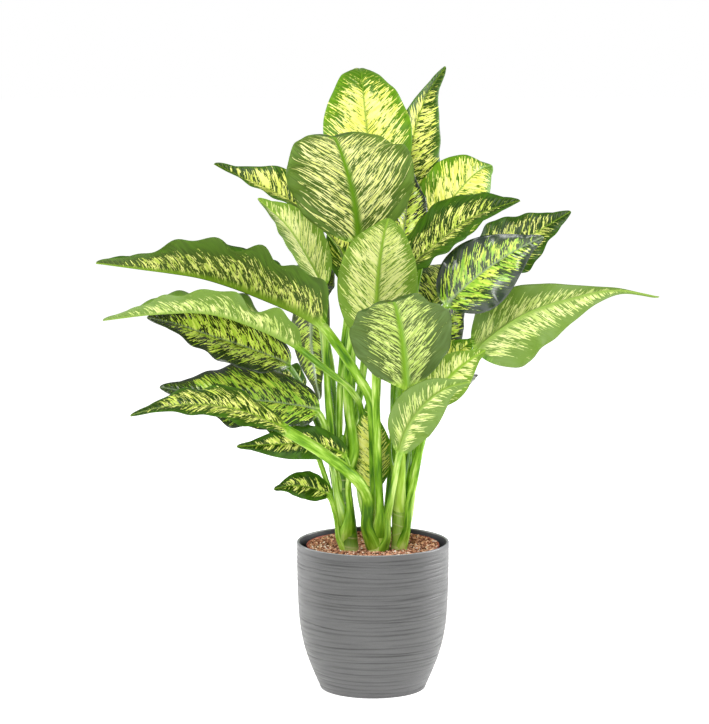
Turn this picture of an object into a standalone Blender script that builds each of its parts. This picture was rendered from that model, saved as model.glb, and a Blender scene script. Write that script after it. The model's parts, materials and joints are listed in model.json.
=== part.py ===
"""Potted dieffenbachia: three leafy shoots in a nursery pot that stands in a round outer pot.

Metres, +Z up. The origin is the centre of the outer pot's flat foot, which rests on Z = 0.
-Y is the front of the plant. Every leaf is one solid: its stalk and its blade grew as one piece.
"""

from dataclasses import dataclass
from math import cos, pi, radians, sin

import bmesh
import bpy
import numpy as np

# Driving dimensions of the pots and the mix.
POT_HEIGHT = 0.235
POT_WALL = 0.0045
POT_FLOOR = 0.007
RIM_INNER = (0.0014, 0.0008)  # the rim's inner edge: out from the wall, and below the top
RIM_CREST = 0.0012  # from the rim's outer edge in to its highest line
INNER_FOOT = (0.006, 0.004)  # the inside's rounded foot: inset and least height over the floor
FIT_GAP = 0.0003
NURSERY_FOOT_RADIUS = 0.074
NURSERY_RIM_RADIUS = 0.1045
NURSERY_RIM_HEIGHT = 0.229
NURSERY_WALL = 0.0015
NURSERY_LIP = 0.0006  # how far the rim's edges are rounded down
DRAIN_HOLE_RADIUS = 0.006
DRAIN_HOLE_CIRCLE = 0.048
DRAIN_HOLES = 6
MIX_HEIGHT = 0.2205
MIX_FLAT_RADIUS = 0.055  # the mix is level out to here, then falls a little to the nursery pot
MIX_EDGE = (0.003, 0.0005)  # inset and fall of the last step before the wall
MIX_FALL = 0.002
ROOT_DEPTH = 0.035
CUTTER_PAST = 0.004  # how far a hole's cutter runs past the wall it cuts
TURNED_STEPS = 40

# Outer pot: (radius, height) down the outer side. It bulges a little and draws in to a narrow foot.
POT_OUTSIDE = (
    (0.1190, 0.2345), (0.1200, 0.2325), (0.1200, 0.2250), (0.1198, 0.1950), (0.1192, 0.1650),
    (0.1180, 0.1350), (0.1156, 0.1050), (0.1100, 0.0730), (0.1045, 0.0540), (0.0975, 0.0350),
    (0.0890, 0.0150), (0.0838, 0.0035), (0.0815, 0.0000),
)

# Leaf solids.
BLADE_THICKNESS = 0.0016
RIB_TIP_RADIUS = 0.0010
LEAST_REACH = 0.003  # half the width of a blade's narrow end
BLADE_STATIONS = (0.015, 0.05, 0.11, 0.20, 0.31, 0.43, 0.56, 0.69, 0.81, 0.91, 0.97)
STALK_STATIONS = 7
BASE_ROUNDNESS = 0.5
INNER_RISE = 9.0  # degrees by which a half rises faster near the rib than at its edge
FOOT_GAP = 0.0010
FOOT_RISE = 0.02  # length over which a stalk leaves its cane along the cane's own direction
FOOT_SWELL = 0.12  # how much thicker a stalk is at its foot
FOOT_POINT = 0.3  # height of the point that closes a stalk's foot, as a share of its radius

# Canes.
CANE_SIDES = 16
CANE_STATIONS = (0.0, 0.12, 0.30, 0.48, 0.66, 0.84, 1.0)
CROWN = 0.25  # height of a cane's domed top, as a share of its radius


@dataclass(frozen=True)
class Cane:
    """A rooted stem: the points of its axis from root to top, and its radius at both ends."""

    name: str
    axis: tuple
    foot_radius: float
    top_radius: float


@dataclass(frozen=True)
class Leaf:
    """A leaf: where its stalk leaves the cane, the stalk's bends, and the rib from collar to tip.

    side and side_tip point to the blade's right edge at the collar and at the tip, looking along
    the rib with the upper face up. fold is how far the left and right halves rise, in degrees.
    shoulder is where along the rib the blade is widest, and taper how fast it narrows from there.
    """

    name: str
    cane: str
    height: float
    azimuth: float
    radius: float
    stalk: tuple
    rib: tuple
    side: tuple
    width: float
    fold: tuple = (14.0, 14.0)
    side_tip: tuple = ()
    wave: float = 0.004
    waves: float = 3.0
    shoulder: float = 0.40
    taper: float = 1.15


CANES = (
    Cane("cane_left", ((-0.036, 0.0, 0.0), (-0.037, 0.0, 0.240), (-0.043, 0.002, 0.300),
                       (-0.048, 0.006, 0.350), (-0.048, 0.010, 0.400)), 0.0130, 0.0095),
    Cane("cane_centre", ((0.008, -0.003, 0.0), (0.008, -0.003, 0.240), (0.007, 0.000, 0.270),
                         (0.005, 0.004, 0.300)), 0.0150, 0.0125),
    Cane("cane_right", ((0.041, 0.005, 0.0), (0.041, 0.005, 0.240), (0.041, 0.006, 0.300),
                        (0.042, 0.010, 0.350), (0.044, 0.016, 0.390)), 0.0115, 0.0090),
)

LEFT, RIGHT = (-1.0, 0.0, 0.0), (1.0, 0.0, 0.0)

LEAVES = (
    # The crown, seen from its upper faces: these lean to the back.
    Leaf("leaf_01_crown", "cane_centre", 0.245, 130, 0.0055,
         ((-0.006, 0.047, 0.306), (0.003, 0.056, 0.40), (0.010, 0.052, 0.58), (0.008, 0.048, 0.70)),
         ((0.005, 0.048, 0.765), (-0.006, 0.058, 0.85), (-0.014, 0.080, 0.922),
          (-0.019, 0.120, 0.966), (-0.022, 0.170, 0.968)),
         RIGHT, 0.142, (12, 12)),
    Leaf("leaf_02_crown_right", "cane_centre", 0.245, 55, 0.0050,
         ((0.026, 0.042, 0.310), (0.036, 0.058, 0.42), (0.040, 0.074, 0.56)),
         ((0.044, 0.090, 0.70), (0.054, 0.120, 0.79), (0.066, 0.140, 0.87),
          (0.088, 0.155, 0.93), (0.116, 0.165, 0.972)),
         (0.75, 0.55, -0.15), 0.106, (20, 20)),
    Leaf("leaf_03_front_upper", "cane_left", 0.385, 10, 0.0075,
         ((-0.040, 0.034, 0.455), (-0.031, 0.014, 0.56), (-0.022, -0.018, 0.65)),
         ((-0.022, -0.040, 0.712), (-0.030, -0.064, 0.784), (-0.045, -0.100, 0.844),
          (-0.058, -0.150, 0.880), (-0.066, -0.205, 0.886)),
         LEFT, 0.200, (10, 10), wave=0.006),
    Leaf("leaf_04_upper_left", "cane_left", 0.392, 110, 0.0050,
         ((-0.050, 0.050, 0.50), (-0.040, 0.054, 0.60)),
         ((-0.044, 0.052, 0.675), (-0.088, 0.054, 0.735), (-0.140, 0.058, 0.772),
          (-0.195, 0.064, 0.798), (-0.250, 0.070, 0.824)),
         (0.45, 0.70, 0.55), 0.100, (40, 25), wave=0.006),
    Leaf("leaf_05_left_pale", "cane_left", 0.365, 210, 0.0050,
         ((-0.068, 0.000, 0.42), (-0.072, -0.002, 0.50), (-0.076, -0.006, 0.58)),
         ((-0.080, -0.009, 0.640), (-0.104, -0.019, 0.690), (-0.134, -0.032, 0.738),
          (-0.178, -0.044, 0.780)),
         (-0.75, 0.25, -0.60), 0.100, (50, 50)),
    Leaf("leaf_06_upper_right", "cane_right", 0.385, 106, 0.0050,
         ((0.054, 0.056, 0.48), (0.064, 0.072, 0.60)),
         ((0.084, 0.086, 0.695), (0.110, 0.100, 0.742), (0.142, 0.116, 0.784),
          (0.170, 0.142, 0.808), (0.192, 0.186, 0.812)),
         (0.75, 0.15, -0.60), 0.120, (8, 8)),
    Leaf("leaf_07_front_centre", "cane_centre", 0.292, 285, 0.0060,
         ((0.007, -0.016, 0.38), (0.004, -0.021, 0.48)),
         ((0.004, -0.030, 0.545), (0.005, -0.060, 0.615), (0.009, -0.088, 0.682),
          (0.016, -0.125, 0.734), (0.022, -0.175, 0.762)),
         LEFT, 0.126, (10, 10)),
    Leaf("leaf_08_right_upper", "cane_right", 0.400, 0, 0.0050,
         ((0.046, 0.010, 0.47), (0.041, 0.004, 0.56)),
         ((0.046, 0.000, 0.655), (0.098, -0.006, 0.706), (0.146, -0.016, 0.744),
          (0.190, -0.028, 0.764), (0.226, -0.040, 0.776)),
         (0.30, -0.75, -0.50), 0.130, (4, 25)),
    Leaf("leaf_09_far_right", "cane_right", 0.385, 60, 0.0045,
         ((0.068, 0.046, 0.46), (0.098, 0.063, 0.56)),
         ((0.142, 0.080, 0.628), (0.200, 0.090, 0.674), (0.258, 0.096, 0.712),
          (0.314, 0.100, 0.746)),
         (0.45, -0.65, -0.60), 0.115, (10, 10), wave=0.006),
    Leaf("leaf_10_right_dark", "cane_right", 0.380, 310, 0.0062,
         ((0.062, -0.005, 0.46), (0.089, -0.026, 0.555)),
         ((0.114, -0.040, 0.614), (0.144, -0.046, 0.646), (0.182, -0.052, 0.677),
          (0.223, -0.058, 0.704), (0.261, -0.064, 0.723)),
         (0.55, -0.15, -0.80), 0.112, (8, 8), shoulder=0.34),
    Leaf("leaf_11_right_long", "cane_right", 0.290, 10, 0.0062,
         ((0.068, 0.004, 0.36), (0.090, 0.000, 0.44), (0.122, -0.004, 0.50)),
         ((0.160, -0.020, 0.540), (0.200, -0.034, 0.576), (0.244, -0.046, 0.604),
          (0.300, -0.056, 0.624), (0.370, -0.064, 0.640), (0.440, -0.068, 0.630)),
         (-0.40, 0.30, 0.85), 0.132, (20, 20), (-0.15, 0.70, 0.60), shoulder=0.16, taper=2.3),
    Leaf("leaf_12_front", "cane_right", 0.335, 275, 0.0070,
         ((0.042, -0.024, 0.41), (0.050, -0.052, 0.465)),
         ((0.051, -0.080, 0.492), (0.046, -0.116, 0.556), (0.038, -0.158, 0.608),
          (0.030, -0.205, 0.640), (0.022, -0.262, 0.646)),
         (-0.98, 0.0, -0.18), 0.160, (10, 10)),
    Leaf("leaf_13_left_long", "cane_centre", 0.310, 0, 0.0080,
         ((0.002, 0.003, 0.40), (-0.005, -0.003, 0.465), (-0.036, -0.030, 0.520)),
         ((-0.080, -0.052, 0.585), (-0.170, -0.072, 0.632), (-0.262, -0.084, 0.664),
          (-0.345, -0.090, 0.676), (-0.424, -0.094, 0.686)),
         (0.0, 1.0, 0.10), 0.172, (62, 30), wave=0.009, waves=3.4, shoulder=0.34),
    Leaf("leaf_14_left_pale", "cane_centre", 0.262, 150, 0.0052,
         ((-0.021, 0.038, 0.318), (-0.016, 0.050, 0.385), (-0.019, 0.040, 0.440),
          (-0.033, 0.000, 0.474), (-0.064, -0.028, 0.504)),
         ((-0.116, -0.066, 0.552), (-0.170, -0.092, 0.584), (-0.250, -0.112, 0.612),
          (-0.330, -0.122, 0.612), (-0.412, -0.126, 0.602)),
         (0.0, 1.0, 0.10), 0.125, (46, 20), wave=0.007),
    Leaf("leaf_15_left_gloss", "cane_left", 0.345, 170, 0.0045,
         ((-0.080, 0.014, 0.40), (-0.104, 0.014, 0.46)),
         ((-0.132, 0.004, 0.512), (-0.190, -0.016, 0.542), (-0.255, -0.032, 0.566),
          (-0.310, -0.042, 0.586), (-0.350, -0.050, 0.596)),
         (0.20, 0.78, 0.62), 0.114, (14, 14)),
    Leaf("leaf_16_left_bright", "cane_left", 0.325, 225, 0.0052,
         ((-0.070, -0.018, 0.385), (-0.075, -0.021, 0.420)),
         ((-0.086, -0.024, 0.444), (-0.140, -0.038, 0.460), (-0.205, -0.050, 0.468),
          (-0.270, -0.060, 0.478), (-0.330, -0.068, 0.490)),
         (0.0, 0.82, 0.60), 0.140, (6, 10)),
    Leaf("leaf_17_left_low", "cane_centre", 0.268, 225, 0.0088,
         ((-0.010, -0.032, 0.318), (-0.045, -0.066, 0.362), (-0.090, -0.096, 0.400)),
         ((-0.135, -0.122, 0.432), (-0.200, -0.150, 0.466), (-0.270, -0.164, 0.478),
          (-0.325, -0.172, 0.474), (-0.368, -0.178, 0.463)),
         (0.0, 0.96, 0.30), 0.094, (4, 14)),
    Leaf("leaf_18_low_front", "cane_left", 0.300, 290, 0.0042,
         ((-0.038, -0.028, 0.338),),
         ((-0.044, -0.040, 0.376), (-0.086, -0.047, 0.398), (-0.146, -0.052, 0.398),
          (-0.212, -0.056, 0.395)),
         (0.05, 0.25, 0.97), 0.054, (8, 8)),
    Leaf("leaf_19_small", "cane_left", 0.243, 195, 0.0042,
         ((-0.060, -0.008, 0.284),),
         ((-0.070, -0.014, 0.310), (-0.098, -0.022, 0.324), (-0.128, -0.028, 0.328),
          (-0.155, -0.032, 0.323)),
         (0.10, 0.55, 0.83), 0.050, (12, 12), wave=0.002),
    Leaf("leaf_20_inner", "cane_centre", 0.272, 90, 0.0040,
         ((0.004, 0.029, 0.296),),
         ((0.000, 0.031, 0.310), (-0.003, 0.032, 0.355), (-0.005, 0.034, 0.405),
          (-0.007, 0.037, 0.452)),
         RIGHT, 0.068, (3, 3), wave=0.002),
    Leaf("leaf_21_front_right", "cane_centre", 0.248, 318, 0.0050,
         ((0.027, -0.024, 0.300), (0.034, -0.034, 0.342)),
         ((0.041, -0.050, 0.385), (0.054, -0.076, 0.430), (0.078, -0.100, 0.468),
          (0.110, -0.120, 0.496), (0.146, -0.134, 0.508)),
         (-0.80, 0.10, 0.55), 0.076, (10, 10)),
    Leaf("leaf_22_right_inner", "cane_right", 0.262, 320, 0.0052,
         ((0.064, -0.015, 0.330), (0.075, -0.020, 0.395)),
         ((0.086, -0.020, 0.450), (0.112, -0.028, 0.492), (0.142, -0.035, 0.522),
          (0.174, -0.040, 0.544)),
         (-0.70, 0.10, 0.72), 0.070, (10, 10)),
    Leaf("leaf_23_right_shade", "cane_right", 0.335, 60, 0.0040,
         ((0.064, 0.060, 0.430),),
         ((0.080, 0.080, 0.500), (0.100, 0.088, 0.540), (0.124, 0.092, 0.576),
          (0.150, 0.094, 0.606)),
         (0.75, 0.20, -0.60), 0.075, (15, 15)),
    Leaf("leaf_24_left_hanging", "cane_left", 0.388, 160, 0.0042,
         ((-0.072, 0.044, 0.480), (-0.080, 0.048, 0.560)),
         ((-0.085, 0.054, 0.602), (-0.091, 0.071, 0.616), (-0.096, 0.086, 0.592),
          (-0.097, 0.090, 0.520), (-0.084, 0.088, 0.446)),
         (1.0, 0.1, 0.1), 0.064, (15, 15)),
    Leaf("leaf_25_upper_inner", "cane_right", 0.378, 150, 0.0045,
         ((0.032, 0.036, 0.45), (0.036, 0.044, 0.56)),
         ((0.042, 0.050, 0.660), (0.048, 0.058, 0.710), (0.054, 0.068, 0.765),
          (0.058, 0.082, 0.822)),
         (0.95, 0.30, 0.0), 0.080, (12, 12)),
    Leaf("leaf_26_low_left", "cane_left", 0.262, 165, 0.0040,
         ((-0.070, 0.004, 0.320), (-0.084, 0.004, 0.362)),
         ((-0.096, 0.000, 0.390), (-0.126, -0.004, 0.412), (-0.160, -0.006, 0.424),
          (-0.192, -0.008, 0.428)),
         (0.10, 0.70, 0.70), 0.066, (12, 12)),
    Leaf("leaf_27_right_bright", "cane_right", 0.360, 20, 0.0040,
         ((0.071, 0.024, 0.420),),
         ((0.090, 0.028, 0.472), (0.112, 0.031, 0.506), (0.136, 0.035, 0.532),
          (0.164, 0.039, 0.552)),
         (0.75, -0.10, -0.60), 0.060, (14, 14)),
    # The back of the plant.
    Leaf("leaf_28_back_right", "cane_right", 0.320, 95, 0.0055,
         ((0.053, 0.068, 0.420), (0.066, 0.112, 0.520)),
         ((0.088, 0.160, 0.575), (0.116, 0.220, 0.612), (0.140, 0.285, 0.630),
          (0.160, 0.350, 0.622)),
         (0.90, -0.40, 0.10), 0.135, (18, 18), wave=0.006),
    Leaf("leaf_29_back_centre", "cane_left", 0.335, 85, 0.0058,
         ((-0.030, 0.064, 0.410), (-0.012, 0.090, 0.520)),
         ((-0.008, 0.120, 0.600), (-0.004, 0.172, 0.662), (0.004, 0.235, 0.700),
          (0.012, 0.310, 0.708)),
         RIGHT, 0.150, (16, 16), wave=0.006),
    Leaf("leaf_30_back_left", "cane_left", 0.350, 130, 0.0055,
         ((-0.062, 0.078, 0.450), (-0.072, 0.128, 0.525)),
         ((-0.094, 0.150, 0.585), (-0.120, 0.205, 0.610), (-0.148, 0.262, 0.620),
          (-0.172, 0.322, 0.612)),
         (0.90, 0.42, 0.10), 0.130, (18, 18), wave=0.006),
    Leaf("leaf_31_back_low_left", "cane_left", 0.300, 130, 0.0050,
         ((-0.066, 0.066, 0.375), (-0.096, 0.102, 0.420)),
         ((-0.122, 0.130, 0.446), (-0.158, 0.174, 0.460), (-0.196, 0.222, 0.460),
          (-0.232, 0.270, 0.446)),
         (0.78, 0.62, 0.10), 0.110, (16, 16), wave=0.005),
    Leaf("leaf_32_back_low_right", "cane_right", 0.280, 72, 0.0048,
         ((0.058, 0.058, 0.340), (0.078, 0.096, 0.400)),
         ((0.094, 0.134, 0.432), (0.118, 0.176, 0.450), (0.140, 0.220, 0.454),
          (0.160, 0.262, 0.444)),
         (0.88, -0.46, 0.10), 0.105, (16, 16), wave=0.005),
    Leaf("leaf_33_back_upper", "cane_left", 0.388, 68, 0.0048,
         ((-0.034, 0.058, 0.440), (-0.034, 0.104, 0.610)),
         ((-0.038, 0.130, 0.700), (-0.056, 0.168, 0.762), (-0.078, 0.220, 0.802),
          (-0.098, 0.282, 0.812)),
         (0.95, 0.30, 0.0), 0.125, (14, 14), wave=0.005),
)


def unit(vector):
    """The vector at length 1."""
    return vector / np.linalg.norm(vector)


def smooth_path(points, stations):
    """Points and tangents of a smooth curve through the given points, at fractions of its length."""
    knots = np.array(points, float)
    ahead, behind = 2 * knots[-1] - knots[-2], 2 * knots[0] - knots[1]
    padded = np.vstack([behind, knots, ahead])
    spans = np.linalg.norm(np.diff(padded, axis=0), axis=1)
    times = np.concatenate([[0.0], np.cumsum(np.sqrt(spans))])

    def at(time):
        i = int(np.clip(np.searchsorted(times, time, side="right") - 1, 1, len(knots) - 1))
        (t0, t1, t2, t3), p = times[i - 1:i + 3], padded[i - 1:i + 3]
        a1 = (p[0] * (t1 - time) + p[1] * (time - t0)) / (t1 - t0)
        a2 = (p[1] * (t2 - time) + p[2] * (time - t1)) / (t2 - t1)
        a3 = (p[2] * (t3 - time) + p[3] * (time - t2)) / (t3 - t2)
        b1 = (a1 * (t2 - time) + a2 * (time - t0)) / (t2 - t0)
        b2 = (a2 * (t3 - time) + a3 * (time - t1)) / (t3 - t1)
        return (b1 * (t2 - time) + b2 * (time - t1)) / (t2 - t1)

    fine_times = np.linspace(times[1], times[-2], 400)
    fine = np.array([at(time) for time in fine_times])
    reach = np.concatenate([[0.0], np.cumsum(np.linalg.norm(np.diff(fine, axis=0), axis=1))])
    wanted = np.array(stations) * reach[-1]
    places = np.stack([np.interp(wanted, reach, fine[:, k]) for k in range(3)], axis=1)
    step = reach[-1] * 0.01
    after = np.stack([np.interp(wanted + step, reach, fine[:, k]) for k in range(3)], axis=1)
    before = np.stack([np.interp(wanted - step, reach, fine[:, k]) for k in range(3)], axis=1)
    tangents = after - before
    return places, tangents / np.linalg.norm(tangents, axis=1)[:, None], reach[-1]


def cane_axis(cane):
    """The cane's axis as points from its root in the mix to its top."""
    root = np.array(cane.axis[0]) + (0.0, 0.0, MIX_HEIGHT - ROOT_DEPTH)
    return [tuple(root), *cane.axis[1:]]


def cane_radius(cane, height):
    """The cane's radius at a height."""
    bottom, top = MIX_HEIGHT, cane.axis[-1][2]
    share = np.clip((height - bottom) / (top - bottom), 0.0, 1.0)
    return cane.foot_radius + share * (cane.top_radius - cane.foot_radius)


def stalk_foot(leaf):
    """The centre of the stalk's foot and the cane's direction there.

    A leaf set higher than its cane ends stands on the cane's top; any other starts at its side.
    """
    cane = next(c for c in CANES if c.name == leaf.cane)
    places, tangents, _ = smooth_path(cane_axis(cane), np.linspace(0, 1, 60))
    if leaf.height > cane.axis[-1][2]:
        return places[-1] + tangents[-1] * (cane.top_radius * CROWN + leaf.radius), tangents[-1]
    nearest = np.argmin(np.abs(places[:, 2] - leaf.height))
    around = np.array([cos(radians(leaf.azimuth)), sin(radians(leaf.azimuth)), 0.0])
    offset = cane_radius(cane, leaf.height) / cos(pi / CANE_SIDES) + leaf.radius + FOOT_GAP
    return places[nearest] + around * offset, tangents[nearest]


def half_width(leaf, share):
    """The blade's half width along the rib, as a share of its greatest: round base, pointed tip."""
    if share < leaf.shoulder:
        return sin(pi / 2 * share / leaf.shoulder) ** BASE_ROUNDNESS
    return cos(pi / 2 * (share - leaf.shoulder) / (1 - leaf.shoulder)) ** leaf.taper


def stalk_ring(centre, right, up, radius):
    """Eight points round the stalk, in the order of a blade's section."""
    angles = [pi - k * pi / 4 for k in range(8)]
    return [centre + radius * (cos(a) * right + sin(a) * up) for a in angles]


def blade_ring(leaf, centre, right, up, share):
    """Eight points round the blade's section: left edge, over the top, right edge, back beneath."""
    breadth = half_width(leaf, share)
    reach = max(leaf.width / 2 * breadth, LEAST_REACH)
    rib = leaf.radius * (1 - share) + RIB_TIP_RADIUS * share
    half = BLADE_THICKNESS / 2

    def place(way, out, angle):
        ripple = leaf.wave * out * sin(2 * pi * leaf.waves * share + way)
        return centre + way * reach * out * cos(angle) * right + (
            reach * out * sin(angle) + ripple * breadth) * up

    def wall(way, fold):
        angle = radians(fold + INNER_RISE)
        middle, across = place(way, 0.5, angle), cos(angle) * up - way * sin(angle) * right
        return middle + half * across, middle - half * across

    left_edge, right_edge = place(-1, 1.0, radians(leaf.fold[0])), place(1, 1.0, radians(leaf.fold[1]))
    (left_above, left_beneath), (right_above, right_beneath) = wall(-1, leaf.fold[0]), wall(1, leaf.fold[1])
    return [
        left_edge, left_above, centre + half * up, right_above,
        right_edge, right_beneath, centre - (half + rib) * up, left_beneath,
    ]


def leaf_rings(leaf):
    """The leaf's foot, its sections from foot to tip, and its tip."""
    foot, along = stalk_foot(leaf)
    rise = foot + along * FOOT_RISE
    stalk_stations = np.linspace(0.0, 1.0, STALK_STATIONS)
    whole = [foot, rise, *leaf.stalk, *leaf.rib]
    _, _, stalk_length = smooth_path([foot, rise, *leaf.stalk, leaf.rib[0]], [0.0])
    _, _, length = smooth_path(whole, [0.0])
    _, _, blade_length = smooth_path(leaf.rib, [0.0])
    collar = stalk_length / (stalk_length + blade_length)
    blade_stations = np.array([*BLADE_STATIONS, 1.0])
    stations = [*(stalk_stations * collar), *(collar + blade_stations * (1 - collar))]
    places, tangents, _ = smooth_path(whole, stations)

    side_from = np.array(leaf.side)
    side_to = np.array(leaf.side_tip or leaf.side)
    rings = []
    right = None
    for i in reversed(range(len(stations) - 1)):
        share = (stations[i] - collar) / (1 - collar)
        hint = side_from + share * (side_to - side_from) if share > 0 else right
        right = unit(hint - hint.dot(tangents[i]) * tangents[i])
        up = np.cross(right, tangents[i])
        if share > 0:
            rings.append(blade_ring(leaf, places[i], right, up, share))
        else:
            swell = 1.0 + FOOT_SWELL * (1 - i / STALK_STATIONS)
            rings.append(stalk_ring(places[i], right, up, leaf.radius * swell))
    foot_point = places[0] - tangents[0] * leaf.radius * FOOT_POINT
    return foot_point, rings[::-1], places[-1]


def add_object(name, mesh, material, collection):
    """Makes an object of a mesh, with its material."""
    mesh.materials.append(material)
    made = bpy.data.objects.new(name, mesh)
    collection.objects.link(made)
    return made


def loft(name, foot, rings, tip, material, collection):
    """A closed solid through sections with as many points each, and a point at each end.

    A section's points run left edge, rib, right edge, rib beneath. Every wall splits along the
    diagonal that starts at its rib side, so the two faces of a twisted blade never cross.
    """
    shape = bmesh.new()
    first, last = shape.verts.new(foot), shape.verts.new(tip)
    rows = [[shape.verts.new(point) for point in ring] for ring in rings]
    count = len(rows[0])
    quarter = count // 4
    for j in range(count):
        k = (j + 1) % count
        shape.faces.new((first, rows[0][k], rows[0][j]))
        shape.faces.new((last, rows[-1][j], rows[-1][k]))
        towards_rib = (j // quarter) % 2 == 0
        for near, far in zip(rows, rows[1:]):
            if towards_rib:
                shape.faces.new((near[j], near[k], far[j]))
                shape.faces.new((near[k], far[k], far[j]))
            else:
                shape.faces.new((near[j], near[k], far[k]))
                shape.faces.new((near[j], far[k], far[j]))
    mesh = bpy.data.meshes.new(name)
    shape.to_mesh(mesh)
    shape.free()
    mesh.shade_smooth()
    return add_object(name, mesh, material, collection)


def turned(name, profile, material, collection):
    """A solid of revolution about Z: a profile of (radius, height) points with a Screw modifier."""
    mesh = bpy.data.meshes.new(name)
    points = [(radius, 0.0, height) for radius, height in profile]
    mesh.from_pydata(points, [(i, i + 1) for i in range(len(points) - 1)], [])
    made = add_object(name, mesh, material, collection)
    screw = made.modifiers.new("Turn", "SCREW")
    screw.steps = screw.render_steps = TURNED_STEPS
    screw.use_merge_vertices = True
    screw.merge_threshold = 1e-5
    return made


def cylinder_cutter(name, centre, radius, bottom, top, collection):
    """An upright cylinder that is only a cutter."""
    bpy.ops.mesh.primitive_cylinder_add(
        vertices=CANE_SIDES, radius=radius, depth=top - bottom,
        location=(centre[0], centre[1], (bottom + top) / 2))
    cutter = bpy.context.object
    cutter.name = name
    cutter.hide_render = True
    cutter.display_type = "WIRE"
    for owner in list(cutter.users_collection):
        owner.objects.unlink(cutter)
    collection.objects.link(cutter)
    return cutter


def cut(target, cutter):
    """Cuts one object from another."""
    boolean = target.modifiers.new(cutter.name, "BOOLEAN")
    boolean.operation = "DIFFERENCE"
    boolean.object = cutter


def finish(name, colour, roughness):
    """A Principled material with a plain colour (linear RGB) and roughness."""
    material = bpy.data.materials.new(name)
    material.use_nodes = True
    shader = material.node_tree.nodes["Principled BSDF"]
    shader.inputs["Base Color"].default_value = (*colour, 1.0)
    shader.inputs["Roughness"].default_value = roughness
    shader.inputs["Metallic"].default_value = 0.0
    return material


def outer_pot(material, collection):
    """The round outer pot, open at the top, with a closed floor."""
    inside = [
        (radius - POT_WALL, height) for radius, height in reversed(POT_OUTSIDE[2:])
        if height > POT_FLOOR + INNER_FOOT[1]
    ]
    inner_foot = (inside[0][0] - INNER_FOOT[0], POT_FLOOR)
    rim_inner = (POT_OUTSIDE[0][0] - POT_WALL + RIM_INNER[0], POT_HEIGHT - RIM_INNER[1])
    profile = [(0.0, POT_FLOOR), inner_foot, *inside, rim_inner,
               (POT_OUTSIDE[0][0] - RIM_CREST, POT_HEIGHT), *POT_OUTSIDE, (0.0, 0.0)]
    return turned("outer_pot", profile, material, collection)


def nursery_pot(material, collection, cutters):
    """The thin grower's pot that the mix and the roots fill, with drain holes in its floor."""
    bottom = POT_FLOOR + FIT_GAP
    floor = bottom + NURSERY_WALL
    profile = [
        (0.0, floor), (NURSERY_FOOT_RADIUS - NURSERY_WALL, floor),
        (NURSERY_RIM_RADIUS - NURSERY_WALL, NURSERY_RIM_HEIGHT - NURSERY_LIP),
        (NURSERY_RIM_RADIUS - NURSERY_WALL / 2, NURSERY_RIM_HEIGHT),
        (NURSERY_RIM_RADIUS, NURSERY_RIM_HEIGHT - NURSERY_LIP),
        (NURSERY_FOOT_RADIUS, bottom), (0.0, bottom),
    ]
    pot = turned("nursery_pot", profile, material, collection)
    for i in range(DRAIN_HOLES):
        angle = 2 * pi * i / DRAIN_HOLES
        centre = (DRAIN_HOLE_CIRCLE * cos(angle), DRAIN_HOLE_CIRCLE * sin(angle))
        cut(pot, cylinder_cutter(f"drain_hole_{i + 1}", centre, DRAIN_HOLE_RADIUS,
                                 bottom - CUTTER_PAST, floor + CUTTER_PAST, cutters))
    return pot


def potting_mix(material, collection, cutters):
    """The mix: it fills the nursery pot, with a round hole for each rooted cane."""
    bottom = POT_FLOOR + 2 * FIT_GAP + NURSERY_WALL
    taper = (NURSERY_RIM_RADIUS - NURSERY_FOOT_RADIUS) / (NURSERY_RIM_HEIGHT - POT_FLOOR)

    def fill(height):
        return NURSERY_FOOT_RADIUS + taper * (height - POT_FLOOR) - NURSERY_WALL - 2 * FIT_GAP

    wall_height = MIX_HEIGHT - MIX_FALL
    profile = [(0.0, MIX_HEIGHT), (MIX_FLAT_RADIUS, MIX_HEIGHT),
               (fill(wall_height) - MIX_EDGE[0], MIX_HEIGHT - MIX_EDGE[1]),
               (fill(wall_height), wall_height), (fill(bottom), bottom), (0.0, bottom)]
    mix = turned("potting_mix", profile, material, collection)
    for cane in CANES:
        radius = cane.foot_radius + FIT_GAP * 2
        cut(mix, cylinder_cutter(f"root_hole_{cane.name}", cane.axis[0], radius,
                                 MIX_HEIGHT - ROOT_DEPTH - FIT_GAP, MIX_HEIGHT + CUTTER_PAST, cutters))
    return mix


def cane_solid(cane, material, collection):
    """A cane: round sections along its axis, closed at the root and at the top."""
    places, tangents, _ = smooth_path(cane_axis(cane), CANE_STATIONS)
    rings = []
    for place, along in zip(places, tangents):
        right = unit(np.cross(along, (0.0, 1.0, 0.0)) * -1)
        up = np.cross(right, along)
        radius = cane_radius(cane, place[2])
        angles = [pi - k * 2 * pi / CANE_SIDES for k in range(CANE_SIDES)]
        rings.append([place + radius * (cos(a) * right + sin(a) * up) for a in angles])
    crown = places[-1] + tangents[-1] * cane.top_radius * CROWN
    return loft(cane.name, places[0], rings, crown, material, collection)


def main():
    """Builds the whole plant and its pots."""
    for old in list(bpy.data.objects):
        bpy.data.objects.remove(old, do_unlink=True)
    parts = bpy.data.collections.new("potted_dieffenbachia")
    cutters = bpy.data.collections.new("cutters")
    bpy.context.scene.collection.children.link(parts)
    bpy.context.scene.collection.children.link(cutters)

    outer_pot(finish("grey_pot", (0.22, 0.22, 0.22), 0.6), parts)
    nursery_pot(finish("terracotta_plastic", (0.45, 0.08, 0.03), 0.5), parts, cutters)
    potting_mix(finish("bark_mix", (0.12, 0.06, 0.03), 0.95), parts, cutters)
    stem = finish("green_stem", (0.16, 0.40, 0.04), 0.45)
    blade = finish("variegated_leaf", (0.30, 0.55, 0.10), 0.4)
    for cane in CANES:
        cane_solid(cane, stem, parts)
    for leaf in LEAVES:
        foot, rings, tip = leaf_rings(leaf)
        loft(leaf.name, foot, rings, tip, blade, parts)


main()
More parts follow.
